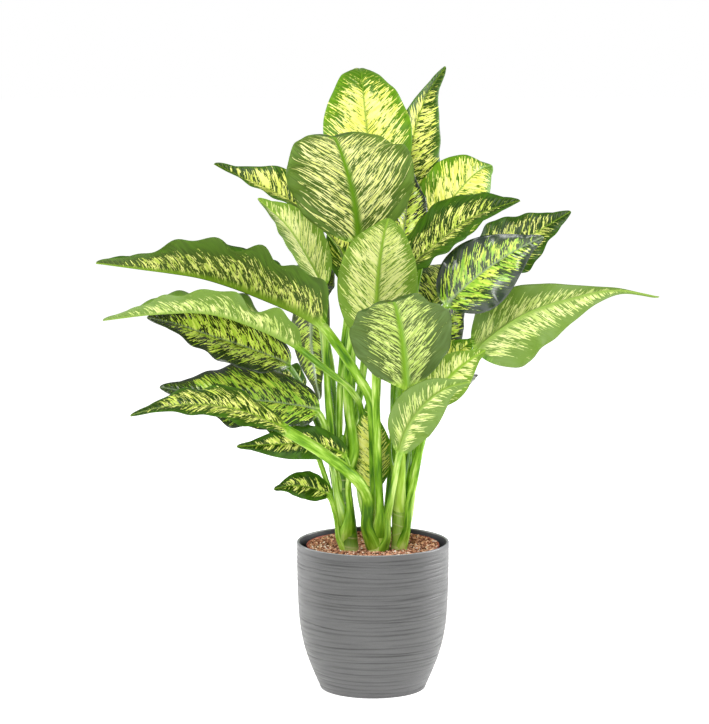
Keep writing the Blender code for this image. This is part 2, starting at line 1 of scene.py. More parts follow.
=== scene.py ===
"""Looks of the potted dieffenbachia: leaves, canes, bark mix, nursery pot and combed outer pot.

Metres, +Z up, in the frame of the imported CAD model. The sections of every leaf and cane are read
from its CAD node, so each shown surface is a finer version of the solid that it stands for.
"""

import json
import logging
from dataclasses import dataclass
from enum import Enum

import bpy
import numpy as np
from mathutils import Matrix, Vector

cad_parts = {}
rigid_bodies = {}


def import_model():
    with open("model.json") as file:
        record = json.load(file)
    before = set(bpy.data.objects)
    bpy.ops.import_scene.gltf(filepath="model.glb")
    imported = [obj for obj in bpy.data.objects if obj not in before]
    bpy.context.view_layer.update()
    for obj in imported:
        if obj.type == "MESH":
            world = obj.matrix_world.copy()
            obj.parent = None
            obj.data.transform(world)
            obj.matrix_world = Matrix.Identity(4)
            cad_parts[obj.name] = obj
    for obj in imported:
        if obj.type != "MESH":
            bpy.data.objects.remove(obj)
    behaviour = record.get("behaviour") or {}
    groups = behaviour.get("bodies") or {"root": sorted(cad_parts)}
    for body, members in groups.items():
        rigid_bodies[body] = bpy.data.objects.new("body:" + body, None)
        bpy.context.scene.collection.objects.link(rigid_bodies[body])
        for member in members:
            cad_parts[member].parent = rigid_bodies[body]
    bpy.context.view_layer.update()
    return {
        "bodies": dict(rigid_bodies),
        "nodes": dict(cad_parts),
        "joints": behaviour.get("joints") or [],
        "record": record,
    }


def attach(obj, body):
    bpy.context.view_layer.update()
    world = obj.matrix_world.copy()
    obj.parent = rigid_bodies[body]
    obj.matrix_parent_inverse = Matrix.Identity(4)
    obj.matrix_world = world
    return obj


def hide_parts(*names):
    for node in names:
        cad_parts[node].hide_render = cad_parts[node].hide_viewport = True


LOG = logging.getLogger("dieffenbachia")
MM = 0.001
BODY = "root"
TURN = 2 * np.pi


# ---------------------------------------------------------------------------------------------
# Shared numerics


def smoothstep(values: np.ndarray, low: float, high: float) -> np.ndarray:
    """Rises from 0 at low to 1 at high as 3t^2 - 2t^3, flat at both ends."""
    t = np.clip((values - low) / (high - low), 0.0, 1.0)
    return t * t * (3.0 - 2.0 * t)


def unit(vectors: np.ndarray) -> np.ndarray:
    """Each vector divided by its own length."""
    return vectors / np.maximum(np.linalg.norm(vectors, axis=-1, keepdims=True), 1e-12)


def hermite(knots: np.ndarray, values: np.ndarray, places: np.ndarray) -> np.ndarray:
    """Cubic Hermite curve through values at knots, with each slope the mean of its two chords.

    Args:
        knots: rising numbers, one for each value.
        values: a row of numbers for each knot.
        places: where to read the curve; beyond the ends it holds the end value.

    Returns:
        A row of numbers for each place.
    """
    values = np.asarray(values, float).reshape(len(knots), -1)
    chords = np.diff(values, axis=0) / np.diff(knots)[:, None]
    slopes = np.vstack([chords[:1], (chords[1:] + chords[:-1]) / 2, chords[-1:]])
    places = np.clip(places, knots[0], knots[-1])
    i = np.clip(np.searchsorted(knots, places, side="right") - 1, 0, len(knots) - 2)
    width = (knots[i + 1] - knots[i])[:, None]
    t = (places - knots[i])[:, None] / width
    start, end = values[i], values[i + 1]
    return ((2 * t**3 - 3 * t**2 + 1) * start + (t**3 - 2 * t**2 + t) * width * slopes[i]
            + (3 * t**2 - 2 * t**3) * end + (t**3 - t**2) * width * slopes[i + 1])


def lengths_along(line: np.ndarray) -> np.ndarray:
    """How far along a line of points each point lies: the sum of the chords up to it."""
    return np.concatenate([[0.0], np.cumsum(np.linalg.norm(np.diff(line, axis=0), axis=1))])


def ripple(places: np.ndarray, waves: tuple, rng: np.random.Generator) -> np.ndarray:
    """A smooth random line: a sum of sines of the given waves along places, each with its own phase.

    Args:
        places: where to read the line.
        waves: how many turns each sine makes per unit of place.
        rng: gives the phases.

    Returns:
        Values of about -1 to 1.
    """
    phases = rng.uniform(0.0, TURN, len(waves))
    turns = TURN * np.multiply.outer(places, np.array(waves)) + phases
    return np.sin(turns).sum(axis=-1) / np.sqrt(len(waves))


def linear(colour: str) -> tuple:
    """Turns an sRGB colour to linear, by the sRGB curve.

    Args:
        colour: a hex colour such as "#80a032".

    Returns:
        Linear red, green and blue, and an alpha of 1.
    """
    parts = np.array([int(colour[i:i + 2], 16) for i in (1, 3, 5)]) / 255.0
    rgb = np.where(parts <= 0.04045, parts / 12.92, ((parts + 0.055) / 1.055) ** 2.4)
    return (*rgb.tolist(), 1.0)


# ---------------------------------------------------------------------------------------------
# Meshes


def grid_mesh(name: str, grid: np.ndarray, ends: tuple, corners: dict,
              points: dict) -> bpy.types.Object:
    """A closed surface through rows of points; each row is a closed ring.

    Vertex (row, column) is grid[row, column]. With two end points, a fan of triangles closes each
    end; with none, the last row joins the first, as in a lip or a hoop. Faces point outwards: the
    whole mesh is turned if its volume is negative.

    Args:
        name: the object's name.
        grid: points of shape (rows, columns, 3).
        ends: the point before the first row and the point after the last, or nothing.
        corners: UV maps by name, each (values of shape (rows + 2, columns, 2), shift of each
            column's faces of shape (columns, 2)); the first and last row are the end points.
        points: float attributes by name, of shape (rows, columns).

    Returns:
        The new object, smooth shaded.
    """
    rows, columns = grid.shape[:2]
    vertices = np.concatenate([grid.reshape(-1, 3), np.asarray(ends, float).reshape(-1, 3)])
    r, c = np.meshgrid(np.arange(rows - (len(ends) > 0)), np.arange(columns), indexing="ij")
    after, below = (c + 1) % columns, (r + 1) % rows
    quads = np.stack([r * columns + c, r * columns + after,
                      below * columns + after, below * columns + c], axis=-1).reshape(-1, 4)
    ring = np.arange(columns)
    following = (ring + 1) % columns
    top = (rows - 1) * columns
    fans = np.zeros((0, 3), int)
    if len(ends):
        first, last = np.full(columns, rows * columns), np.full(columns, rows * columns + 1)
        fans = np.concatenate([np.stack([first, following, ring], axis=-1),
                               np.stack([last, top + ring, top + following], axis=-1)])
    mesh = polygon_mesh(name, vertices, quads, fans)
    sizes = np.concatenate([np.full(len(quads), 4), np.full(len(fans), 3)])
    for uv_name, (values, shifts) in corners.items():
        flat = np.concatenate([values[1:-1].reshape(-1, 2), values[0], values[-1]])
        first_uv = rows * columns + ring
        corner_uv = np.concatenate([
            flat[quads].reshape(-1, 2),
            flat[np.stack([first_uv, following, ring], axis=-1)].reshape(-1, 2),
            flat[np.stack([first_uv + columns, top + ring, top + following], axis=-1)].reshape(-1, 2)])
        face_column = np.concatenate([c.reshape(-1), ring, ring])
        corner_uv = corner_uv + np.repeat(shifts[face_column], sizes, axis=0)
        layer = mesh.uv_layers.new(name=uv_name)
        layer.uv.foreach_set("vector", corner_uv.astype(np.float32).reshape(-1))
    for attribute_name, values in points.items():
        tips = [values[0].mean(), values[-1].mean()] if len(ends) else []
        data = np.concatenate([values.reshape(-1), tips])
        set_points(mesh, attribute_name, data)
    a, b, d, e = (vertices[quads[:, k]] for k in range(4))
    volume = np.einsum("ij,ij->", a, np.cross(b, d)) + np.einsum("ij,ij->", a, np.cross(d, e))
    if volume < 0:
        mesh.flip_normals()
    return placed(mesh)


def set_points(mesh: bpy.types.Mesh, name: str, values: np.ndarray) -> None:
    """Gives the mesh a float attribute with one value for each vertex."""
    mesh.attributes.new(name, "FLOAT", "POINT").data.foreach_set("value", values.astype(np.float32))


def polygon_mesh(name: str, vertices: np.ndarray, quads: np.ndarray,
                 triangles: np.ndarray) -> bpy.types.Mesh:
    """Makes a mesh whose faces are the quads and then the triangles.

    Args:
        name: the mesh's name.
        vertices: points of shape (vertices, 3).
        quads: vertex numbers of shape (quads, 4).
        triangles: vertex numbers of shape (triangles, 3).

    Returns:
        The new mesh.
    """
    corner_vertices = np.concatenate([quads.reshape(-1), triangles.reshape(-1)])
    starts = np.concatenate([np.arange(len(quads)) * 4, quads.size + np.arange(len(triangles)) * 3])
    mesh = bpy.data.meshes.new(name)
    mesh.vertices.add(len(vertices))
    mesh.vertices.foreach_set("co", vertices.astype(np.float32).reshape(-1))
    mesh.loops.add(len(corner_vertices))
    mesh.loops.foreach_set("vertex_index", corner_vertices.astype(np.int32))
    mesh.polygons.add(len(starts))
    mesh.polygons.foreach_set("loop_start", starts.astype(np.int32))
    mesh.update(calc_edges=True)
    return mesh


def placed(mesh: bpy.types.Mesh) -> bpy.types.Object:
    """Links a smooth-shaded object at the origin that shows the mesh.

    Args:
        mesh: the mesh, whose name the object takes.

    Returns:
        The new object.
    """
    mesh.validate()
    mesh.shade_smooth()
    made = bpy.data.objects.new(mesh.name, mesh)
    bpy.context.scene.collection.objects.link(made)
    return made


def turned(name: str, radii: np.ndarray, heights: np.ndarray, columns: int,
           points: dict, hoop: bool = False) -> bpy.types.Object:
    """A surface of revolution about Z: at angle t, x = r cos t and y = r sin t.

    Args:
        name: the object's name.
        radii: the radius of each row, of shape (rows,) or (rows, columns).
        heights: the height of each row, in the same shapes.
        columns: how many points go round.
        points: float attributes by name, of shape (rows, columns).
        hoop: whether the last row joins the first instead of both ends closing on the axis.

    Returns:
        The new object.
    """
    t = TURN * np.arange(columns) / columns
    radii, heights = (np.broadcast_to(v[:, None] if v.ndim == 1 else v, (len(v), columns))
                      for v in (radii, heights))
    grid = np.stack([radii * np.cos(t), radii * np.sin(t), heights], axis=-1)
    ends = () if hoop else ((0.0, 0.0, heights[0].mean()), (0.0, 0.0, heights[-1].mean()))
    return grid_mesh(name, grid, ends, {}, points)


def corners_of(node: bpy.types.Object) -> np.ndarray:
    """Reads where a CAD node's corners are.

    Args:
        node: the CAD node's object.

    Returns:
        Points of shape (corners, 3).
    """
    places = np.empty(len(node.data.vertices) * 3, np.float32)
    node.data.vertices.foreach_get("co", places)
    return places.reshape(-1, 3)


def show(piece: bpy.types.Object, material: bpy.types.Material, slot: str, *nodes: str) -> None:
    """Dresses a piece, puts it on its body and reports it.

    Args:
        piece: the new object.
        material: its finish.
        slot: the part's material slot that the finish belongs to; not used.
        nodes: the CAD nodes that it stands for, if any.
    """
    piece.data.materials.append(material)
    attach(piece, BODY)
    if nodes:
        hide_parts(*nodes)
    LOG.info("%s: %d faces", piece.name, len(piece.data.polygons))


@dataclass(frozen=True)
class Sections:
    """A lofted solid's own sections, root first: rings of shape (sections, points, 3), and its tip."""

    rings: np.ndarray
    tip: np.ndarray

    @classmethod
    def read(cls, node: bpy.types.Object, count: int) -> "Sections":
        """Finds the sections of a CAD node that was lofted through rings of count points.

        Corners that share a place are one point. Steps outwards from the tip reach the rings one
        after another, so the tip is the highest point whose steps hold 1, count, count, ... points.

        Args:
            node: the CAD node's object.
            count: how many points each ring has.

        Returns:
            The rings in order from root to tip, each in its own order round, all starting alike.
        """
        mesh = node.data
        mesh.calc_loop_triangles()
        triangles = np.empty(len(mesh.loop_triangles) * 3, np.int32)
        mesh.loop_triangles.foreach_get("vertices", triangles)
        merged, index = np.unique(np.round(corners_of(node), 6), axis=0, return_inverse=True)
        triangles = index.reshape(-1)[triangles].reshape(-1, 3)
        joined = np.zeros((len(merged), len(merged)), bool)
        for a, b in ((0, 1), (1, 2), (2, 0)):
            joined[triangles[:, a], triangles[:, b]] = joined[triangles[:, b], triangles[:, a]] = True
        for start in np.argsort(-merged[:, 2]):
            layers = cls._layers(joined, start)
            sizes = [len(layer) for layer in layers[1:]]
            if len(sizes) > 3 and set(sizes[:-1]) == {count} and sizes[-1] in (1, count):
                break
        else:
            raise ValueError(f"{node.name} has no sections of {count} points")
        rings = [cls._round(joined, layer) for layer in layers[1:] if len(layer) == count]
        ordered = [merged[rings[0]]]
        for ring in rings[1:]:
            turns = [np.roll(way, shift, axis=0) for way in (merged[ring], merged[ring][::-1])
                     for shift in range(count)]
            gaps = [np.linalg.norm(turn - ordered[-1], axis=1).sum() for turn in turns]
            ordered.append(turns[int(np.argmin(gaps))])
        return cls(np.array(ordered[::-1], float), merged[start].astype(float))

    @staticmethod
    def _layers(joined: np.ndarray, start: int) -> list:
        """Walks outwards from a point, one step after another.

        Args:
            joined: whether two points share an edge, of shape (points, points).
            start: the number of the first point.

        Returns:
            The numbers of the points no step away, one step, two steps, and so on.
        """
        layers, seen = [np.array([start])], np.zeros(len(joined), bool)
        seen[start] = True
        while len(layers[-1]):
            reached = joined[layers[-1]].any(axis=0) & ~seen
            seen |= reached
            layers.append(np.flatnonzero(reached))
        return layers[:-1]

    @staticmethod
    def _round(joined: np.ndarray, layer: np.ndarray) -> list:
        """Walks once round a ring.

        Args:
            joined: whether two points share an edge, of shape (points, points).
            layer: the ring's points in any order.

        Returns:
            The ring's points in their order round it.
        """
        left, walk = set(layer.tolist()), [int(layer[0])]
        while len(walk) < len(layer):
            left.discard(walk[-1])
            walk.append(next(int(p) for p in np.flatnonzero(joined[walk[-1]]) if p in left))
        return walk


# ---------------------------------------------------------------------------------------------
# Finishes

# Settings of a Mix node that blends two colours, inputs 6 and 7, by input 0.
BLEND = {"out": 2, "data_type": "RGBA"}


def add(tree: bpy.types.NodeTree, kind: str, inputs: dict, out: int = 0, stops: tuple = (),
        **settings: object) -> bpy.types.NodeSocket:
    """Adds a node with its settings and links.

    Args:
        tree: the node tree.
        kind: the node's type.
        inputs: values, hex colours or sockets to link, by input name or number.
        out: which output to return.
        stops: for a colour ramp, its (position, hex colour) stops.
        settings: the node's own properties.

    Returns:
        The chosen output socket.
    """
    node = tree.nodes.new(kind)
    for key, value in settings.items():
        setattr(node, key, value)
    for key, value in inputs.items():
        if isinstance(value, bpy.types.NodeSocket):
            tree.links.new(value, node.inputs[key])
        else:
            node.inputs[key].default_value = linear(value) if isinstance(value, str) else value
    if stops:
        elements = node.color_ramp.elements
        while len(elements) < len(stops):
            elements.new(0.5)
        for element, (position, colour) in zip(elements, stops):
            element.position, element.color = position, linear(colour)
    return node.outputs[out] if len(node.outputs) else None


def new_material(name: str) -> tuple:
    """Makes a material without nodes.

    Args:
        name: the material's name.

    Returns:
        The material and its empty node tree.
    """
    material = bpy.data.materials.new(name)
    material.use_nodes = True
    material.node_tree.nodes.clear()
    return material, material.node_tree


def stretched_noise(tree: bpy.types.NodeTree, place: bpy.types.NodeSocket, grain: tuple, detail: float,
                    distortion: float = 0.0, dimensions: str = "3D") -> bpy.types.NodeSocket:
    """Adds noise whose grains are longer one way than another: noise of place / grain.

    Args:
        tree: the node tree.
        place: coordinates in metres.
        grain: the grain's size along each coordinate, in mm.
        detail: how many finer layers lie over it.
        distortion: how far the grains bend.
        dimensions: "2D" on a UV map, "3D" in space.

    Returns:
        The noise, from 0 to 1.
    """
    scaled = add(tree, "ShaderNodeVectorMath", {0: place, 1: tuple(1 / (size * MM) for size in grain)},
                 operation="MULTIPLY")
    return add(tree, "ShaderNodeTexNoise",
               {"Vector": scaled, "Scale": 1.0, "Detail": detail, "Distortion": distortion},
               noise_dimensions=dimensions)


@dataclass(frozen=True)
class LeafFinish:
    """Living dieffenbachia leaf: a waxy cuticle over green tissue, which lacks green in streaks.

    To the eye that is a satin blade with ragged pale flecks along its side veins, inside a plain
    green margin, on a mottled stalk. Colours are sRGB hex and lengths mm. band is the share of the
    half width that the flecks reach, green is how much of that band stays green, from 0 to 1, and
    the higher clumps is, the more the flecks gather in patches.
    """

    name: str
    margin: str
    shade: str
    cream: str
    lime: str
    rib: str
    green: float
    band: float
    streak: float = 2.8
    fleck_length: float = 12.0
    clumps: float = 0.50
    roughness: float = 0.40
    gloss: float = 0.25
    wax: float = 0.0
    paler_below: float = 0.10
    below: str = "#b3c46c"
    vein_gap: float = 8.5
    # The stalk's ramp: its own greens, with the darkest end standing for painted shade and the palest for a
    # painted highlight.
    stem: tuple = ((0.0, "#3f6e06"), (0.38, "#70a01a"), (0.70, "#9ac442"), (1.0, "#c8e07c"))

    def make(self) -> bpy.types.Material:
        """Makes the finish from the leaf's own UV maps and attributes.

        Veins holds where a side vein starts and the distance out, in metres, and blade holds the
        shares along and out. The attributes are underside, rib and stalk.

        Returns:
            The material.
        """
        material, tree = new_material(self.name)
        veins, blade = (add(tree, "ShaderNodeUVMap", {}, uv_map=name) for name in ("veins", "blade"))
        below, rib, stalk = (add(tree, "ShaderNodeAttribute", {}, out=2, attribute_name=name)
                             for name in ("underside", "rib", "stalk"))
        inner = self._inside_band(tree, veins, add(tree, "ShaderNodeSeparateXYZ", {0: blade}, out=1))
        along = add(tree, "ShaderNodeSeparateXYZ", {0: blade}, out=0)
        deep = add(tree, "ShaderNodeMapRange", {0: inner, 1: -0.06, 2: 0.12})
        # A wave node of scale k turns once in 2 pi / 20 k.
        wave = add(tree, "ShaderNodeTexWave", {"Vector": veins, "Scale": TURN / (20 * self.vein_gap * MM),
                                               "Distortion": 0.5, "Detail": 1.0}, out=1)
        colour = self._tissue(tree, veins, deep, self._flecks(tree, veins, along, inner))
        # Each side vein shows as a fine paler line.
        line = add(tree, "ShaderNodeMapRange", {0: wave, 1: 0.86, 2: 1.0, 3: 0.0, 4: 0.13})
        line = add(tree, "ShaderNodeMath", {0: line, 1: deep}, operation="MULTIPLY")
        colour = add(tree, "ShaderNodeMix", {0: line, 6: colour, 7: self.lime}, **BLEND)
        # Beneath, air under the skin makes the whole blade a little paler.
        faded = add(tree, "ShaderNodeMath", {0: below, 1: self.paler_below}, operation="MULTIPLY")
        colour = add(tree, "ShaderNodeMix", {0: faded, 6: colour, 7: self.below}, **BLEND)
        colour = add(tree, "ShaderNodeMix", {0: rib, 6: colour, 7: self.rib}, **BLEND)
        colour = add(tree, "ShaderNodeMix", {0: stalk, 6: colour, 7: self._stalk(tree, veins)}, **BLEND)

        # The blade is quilted between its side veins, over a fine grain of cells.
        lamina = add(tree, "ShaderNodeMath", {0: 1.0, 1: rib}, operation="SUBTRACT")
        lamina = add(tree, "ShaderNodeMath", {0: deep, 1: lamina}, operation="MULTIPLY")
        ridges = add(tree, "ShaderNodeMath", {0: wave, 1: lamina}, operation="MULTIPLY")
        bump = add(tree, "ShaderNodeBump", {"Height": ridges, "Strength": 0.5, "Distance": 0.7 * MM})
        cells = stretched_noise(tree, veins, (1.2, 2.4, 1000.0), 2.0, dimensions="2D")
        bump = add(tree, "ShaderNodeBump", {"Height": cells, "Strength": 0.25, "Distance": 0.15 * MM,
                                            "Normal": bump})
        rough = add(tree, "ShaderNodeMapRange", {0: below, 3: self.roughness, 4: self.roughness + 0.12})
        surface = add(tree, "ShaderNodeBsdfPrincipled",
                      {"Base Color": colour, "Roughness": rough, "IOR": 1.45, "Normal": bump,
                       "Specular IOR Level": self.gloss, "Coat Weight": self.wax, "Coat Roughness": 0.2})
        add(tree, "ShaderNodeOutputMaterial", {"Surface": surface})
        return material

    def _inside_band(self, tree: bpy.types.NodeTree, veins: bpy.types.NodeSocket,
                     outward: bpy.types.NodeSocket) -> bpy.types.NodeSocket:
        """Adds how far each point lies inside the flecked band, whose limit differs at every streak.

        Args:
            tree: the node tree.
            veins: the UV map of the side veins.
            outward: the share of the half width.

        Returns:
            The limit less outward: above 0 inside, below 0 in the plain margin.
        """
        spread = 1.05
        uneven = stretched_noise(tree, veins, (self.streak * 1.3, 300.0, 1000.0), 1.5, dimensions="2D")
        limit = add(tree, "ShaderNodeMath", {0: uneven, 1: spread, 2: self.band - spread / 2},
                    operation="MULTIPLY_ADD")
        return add(tree, "ShaderNodeMath", {0: limit, 1: outward}, operation="SUBTRACT")

    def _flecks(self, tree: bpy.types.NodeTree, veins: bpy.types.NodeSocket, along: bpy.types.NodeSocket,
                inner: bpy.types.NodeSocket) -> bpy.types.NodeSocket:
        """Adds where the blade is pale: where flecks + clumps + a fine ragged grain pass a level.

        Flecks thin out towards the margin and the tip, and a few stray into the margin.

        Args:
            tree: the node tree.
            veins: the UV map of the side veins.
            along: the share of the blade's length.
            inner: how far inside the band.

        Returns:
            1 where the blade is pale, 0 where it is green.
        """
        wide, long = self.streak, self.fleck_length
        flecks = stretched_noise(tree, veins, (wide, long, 1000.0), 2.5, 0.5, "2D")
        patches = stretched_noise(tree, veins, (wide * 4.2, long * 2.2, 1000.0), 1.0, dimensions="2D")
        ragged = stretched_noise(tree, veins, (wide * 0.55, long * 0.30, 1000.0), 1.0, dimensions="2D")
        raggedness = 0.30
        field = add(tree, "ShaderNodeMath", {0: patches, 1: self.clumps, 2: flecks}, operation="MULTIPLY_ADD")
        field = add(tree, "ShaderNodeMath", {0: ragged, 1: raggedness, 2: field}, operation="MULTIPLY_ADD")
        to_edge = add(tree, "ShaderNodeMapRange", {0: inner, 1: -0.10, 2: 0.22, 3: 0.36, 4: 0.0})
        to_tip = add(tree, "ShaderNodeMapRange", {0: along, 1: 0.74, 2: 1.0, 3: 0.0, 4: 0.34})
        field = add(tree, "ShaderNodeMath", {0: field, 1: to_edge}, operation="SUBTRACT")
        field = add(tree, "ShaderNodeMath", {0: field, 1: to_tip}, operation="SUBTRACT")
        # The three noises have a mean of a half each, so this level leaves half the band green at green 0.5.
        level = (1 + self.clumps + raggedness) / 2 + 0.42 * (self.green - 0.5)
        return add(tree, "ShaderNodeMapRange", {0: field, 1: level - 0.022, 2: level + 0.028},
                   interpolation_type="SMOOTHSTEP")

    def _tissue(self, tree: bpy.types.NodeTree, veins: bpy.types.NodeSocket, deep: bpy.types.NodeSocket,
                pale: bpy.types.NodeSocket) -> bpy.types.NodeSocket:
        """Adds the blade's colours: mottled margin, deeper green among the flecks, cream to lime in them.

        Args:
            tree: the node tree.
            veins: the UV map of the side veins.
            deep: 1 inside the flecked band, 0 in the margin.
            pale: 1 in a fleck.

        Returns:
            The colour.
        """
        shift = stretched_noise(tree, veins, (self.streak * 2.0, self.fleck_length * 1.6, 1000.0), 2.0,
                                dimensions="2D")
        tint = add(tree, "ShaderNodeMapRange", {0: shift, 1: 0.40, 2: 0.62})
        yellow = add(tree, "ShaderNodeMix", {0: tint, 6: self.cream, 7: self.lime}, **BLEND)
        blotches = stretched_noise(tree, veins, (9.0, 26.0, 1000.0), 3.0, dimensions="2D")
        mottle = add(tree, "ShaderNodeMapRange", {0: blotches, 1: 0.3, 2: 0.7, 3: 0.0, 4: 0.7})
        green = add(tree, "ShaderNodeMix", {0: mottle, 6: self.margin, 7: self.shade}, **BLEND)
        green = add(tree, "ShaderNodeMix", {0: deep, 6: green, 7: self.shade}, **BLEND)
        return add(tree, "ShaderNodeMix", {0: pale, 6: green, 7: yellow}, **BLEND)

    def _stalk(self, tree: bpy.types.NodeTree, veins: bpy.types.NodeSocket) -> bpy.types.NodeSocket:
        """Adds the stalk's colour: long soft patches, partly its own mottle and partly painted shade and
        highlight, with faint fibres over them.

        Args:
            tree: the node tree.
            veins: the UV map, which runs along the stalk too.

        Returns:
            The colour.
        """
        fibres = stretched_noise(tree, veins, (26.0, 1.8, 1000.0), 2.0, dimensions="2D")
        # The long patches are partly the stalk's own mottle and partly painted shade and painted highlight,
        # the bands of light and dark along a lit stalk.
        patches = stretched_noise(tree, veins, (80.0, 7.0, 1000.0), 1.5, dimensions="2D")
        tone = add(tree, "ShaderNodeMath", {0: fibres, 1: 0.45, 2: patches}, operation="MULTIPLY_ADD")
        tone = add(tree, "ShaderNodeMapRange", {0: tone, 1: 0.50, 2: 0.95})
        return add(tree, "ShaderNodeValToRGB", {0: tone}, stops=self.stem)


@dataclass(frozen=True)
class ClayFinish:
    """Combed clay under a satin grey wash, dipped and fired.

    To the eye it is paler on the ridges, darker in the grooves, where shade is painted, and in uneven
    bands; inside it is darker by painted shade, and along the lip paler by a painted highlight. groove
    and inside are point attributes of the pot, 0 to 1; lip_from is a height.
    """

    ridge: str = "#575757"
    hollow: str = "#343434"
    painted_inside_shade: str = "#404147"
    lip: str = "#a2a4aa"
    lip_from: float = 233.6 * MM

    def make(self) -> bpy.types.Material:
        """Makes the finish.

        Returns:
            The material.
        """
        material, tree = new_material("combed_grey_clay")
        place = add(tree, "ShaderNodeTexCoord", {}, out=3)
        groove, inside = (add(tree, "ShaderNodeAttribute", {}, out=2, attribute_name=name)
                          for name in ("groove", "inside"))
        # Bristles left fine lines between the grooves, and uneven bands run along them.
        bristles = stretched_noise(tree, place, (38.0, 38.0, 0.9), 3.0)
        uneven_bands = stretched_noise(tree, place, (46.0, 46.0, 5.0), 3.0)
        # Painted shade: the colour darkens with each groove's depth, for the shade that falls in it; the
        # uneven bands and fine lines add a darker tone of their own.
        depth = add(tree, "ShaderNodeMath", {0: uneven_bands, 1: 0.55, 2: groove}, operation="MULTIPLY_ADD")
        depth = add(tree, "ShaderNodeMath", {0: bristles, 1: 0.35, 2: depth}, operation="MULTIPLY_ADD")
        amount = add(tree, "ShaderNodeMapRange", {0: depth, 1: 0.38, 2: 1.25})
        colour = add(tree, "ShaderNodeMix", {0: amount, 6: self.ridge, 7: self.hollow}, **BLEND)
        # Painted shade: inside the pot the colour turns a darker grey, for the shade that falls within it.
        colour = add(tree, "ShaderNodeMix", {0: inside, 6: colour, 7: self.painted_inside_shade}, **BLEND)
        # Painted highlight: the top of the lip turns a paler grey, for the light that catches the rim.
        height = add(tree, "ShaderNodeSeparateXYZ", {0: place}, out=2)
        wear_and_lip_highlight = add(tree, "ShaderNodeMapRange", {0: height, 1: self.lip_from, 2: self.lip_from + MM, 4: 0.7})
        colour = add(tree, "ShaderNodeMix", {0: wear_and_lip_highlight, 6: colour, 7: self.lip}, **BLEND)
        grit = stretched_noise(tree, place, (1.1, 1.1, 1.1), 2.0)
        speck = add(tree, "ShaderNodeMapRange", {0: grit, 1: 0.42, 2: 0.62, 3: 0.92, 4: 1.05})
        colour = add(tree, "ShaderNodeVectorMath", {0: colour, 1: speck}, operation="MULTIPLY")
        outer = add(tree, "ShaderNodeMath", {0: 1.0, 1: inside}, operation="SUBTRACT")
        lines = add(tree, "ShaderNodeMath", {0: bristles, 1: outer}, operation="MULTIPLY")
        bump = add(tree, "ShaderNodeBump", {"Height": lines, "Strength": 0.6, "Distance": 0.6 * MM})
        pores = stretched_noise(tree, place, (0.7, 0.7, 0.7), 2.0)
        bump = add(tree, "ShaderNodeBump", {"Height": pores, "Strength": 0.2, "Distance": 0.12 * MM,
                                            "Normal": bump})
        rough = add(tree, "ShaderNodeMapRange", {0: uneven_bands, 1: 0.3, 2: 0.7, 3: 0.33, 4: 0.47})
        surface = add(tree, "ShaderNodeBsdfPrincipled",
                      {"Base Color": colour, "Roughness": rough, "IOR": 1.55, "Normal": bump})
        add(tree, "ShaderNodeOutputMaterial", {"Surface": surface})
        return material


@dataclass(frozen=True)
class TerracottaFinish:
    """Thin polypropylene, dyed terracotta and moulded: matt, faintly mottled, dusted by the mix."""

    plastic: str = "#b24a2c"
    wear_and_lip_highlight: str = "#8e3a24"
    dust: str = "#9a7a5e"

    def make(self) -> bpy.types.Material:
        """Makes the finish.

        Returns:
            The material.
        """
        material, tree = new_material("terracotta_plastic")
        place = add(tree, "ShaderNodeTexCoord", {}, out=3)
        mottle = add(tree, "ShaderNodeTexNoise", {"Vector": place, "Scale": 90.0, "Detail": 4.0})
        grit = add(tree, "ShaderNodeTexNoise", {"Vector": place, "Scale": 1300.0, "Detail": 2.0})
        tone = add(tree, "ShaderNodeMapRange", {0: mottle, 1: 0.35, 2: 0.65})
        colour = add(tree, "ShaderNodeMix", {0: tone, 6: self.plastic, 7: self.wear_and_lip_highlight}, **BLEND)
        dusty = add(tree, "ShaderNodeMapRange", {0: grit, 1: 0.56, 2: 0.66, 3: 0.0, 4: 0.6})
        colour = add(tree, "ShaderNodeMix", {0: dusty, 6: colour, 7: self.dust}, **BLEND)
        bump = add(tree, "ShaderNodeBump", {"Height": grit, "Strength": 0.3, "Distance": 0.2 * MM})
        rough = add(tree, "ShaderNodeMapRange", {0: mottle, 3: 0.45, 4: 0.62})
        surface = add(tree, "ShaderNodeBsdfPrincipled",
                      {"Base Color": colour, "Roughness": rough, "Normal": bump})
        add(tree, "ShaderNodeOutputMaterial", {"Surface": surface})
        return material


@dataclass(frozen=True)
class BarkFinish:
    """Dry orchid-type mix: milled bark in every brown, with a few pale bits of pumice.

    chip is a point attribute, one number for each chip, that picks its colour.
    """

    browns: tuple = ((0.0, "#321a10"), (0.16, "#6c3a26"), (0.40, "#b07454"), (0.62, "#e0a684"),
                     (0.84, "#f4cdb0"), (0.95, "#fae6d2"), (1.0, "#fdf8ee"))

    def make(self) -> bpy.types.Material:
        """Makes the finish.

        Returns:
            The material.
        """
        material, tree = new_material("milled_bark_mix")
        place = add(tree, "ShaderNodeTexCoord", {}, out=3)
        chip = add(tree, "ShaderNodeAttribute", {}, out=2, attribute_name="chip")
        fibre = add(tree, "ShaderNodeTexNoise", {"Vector": place, "Scale": 900.0, "Detail": 3.0})
        shift = add(tree, "ShaderNodeMapRange", {0: fibre, 1: 0.3, 2: 0.7, 3: -0.13, 4: 0.13})
        tone = add(tree, "ShaderNodeMath", {0: chip, 1: shift}, operation="ADD")
        colour = add(tree, "ShaderNodeValToRGB", {0: tone}, stops=self.browns)
        bump = add(tree, "ShaderNodeBump", {"Height": fibre, "Strength": 0.7, "Distance": 0.4 * MM})
        surface = add(tree, "ShaderNodeBsdfPrincipled",
                      {"Base Color": colour, "Roughness": 0.85, "Normal": bump})
        add(tree, "ShaderNodeOutputMaterial", {"Surface": surface})
        return material


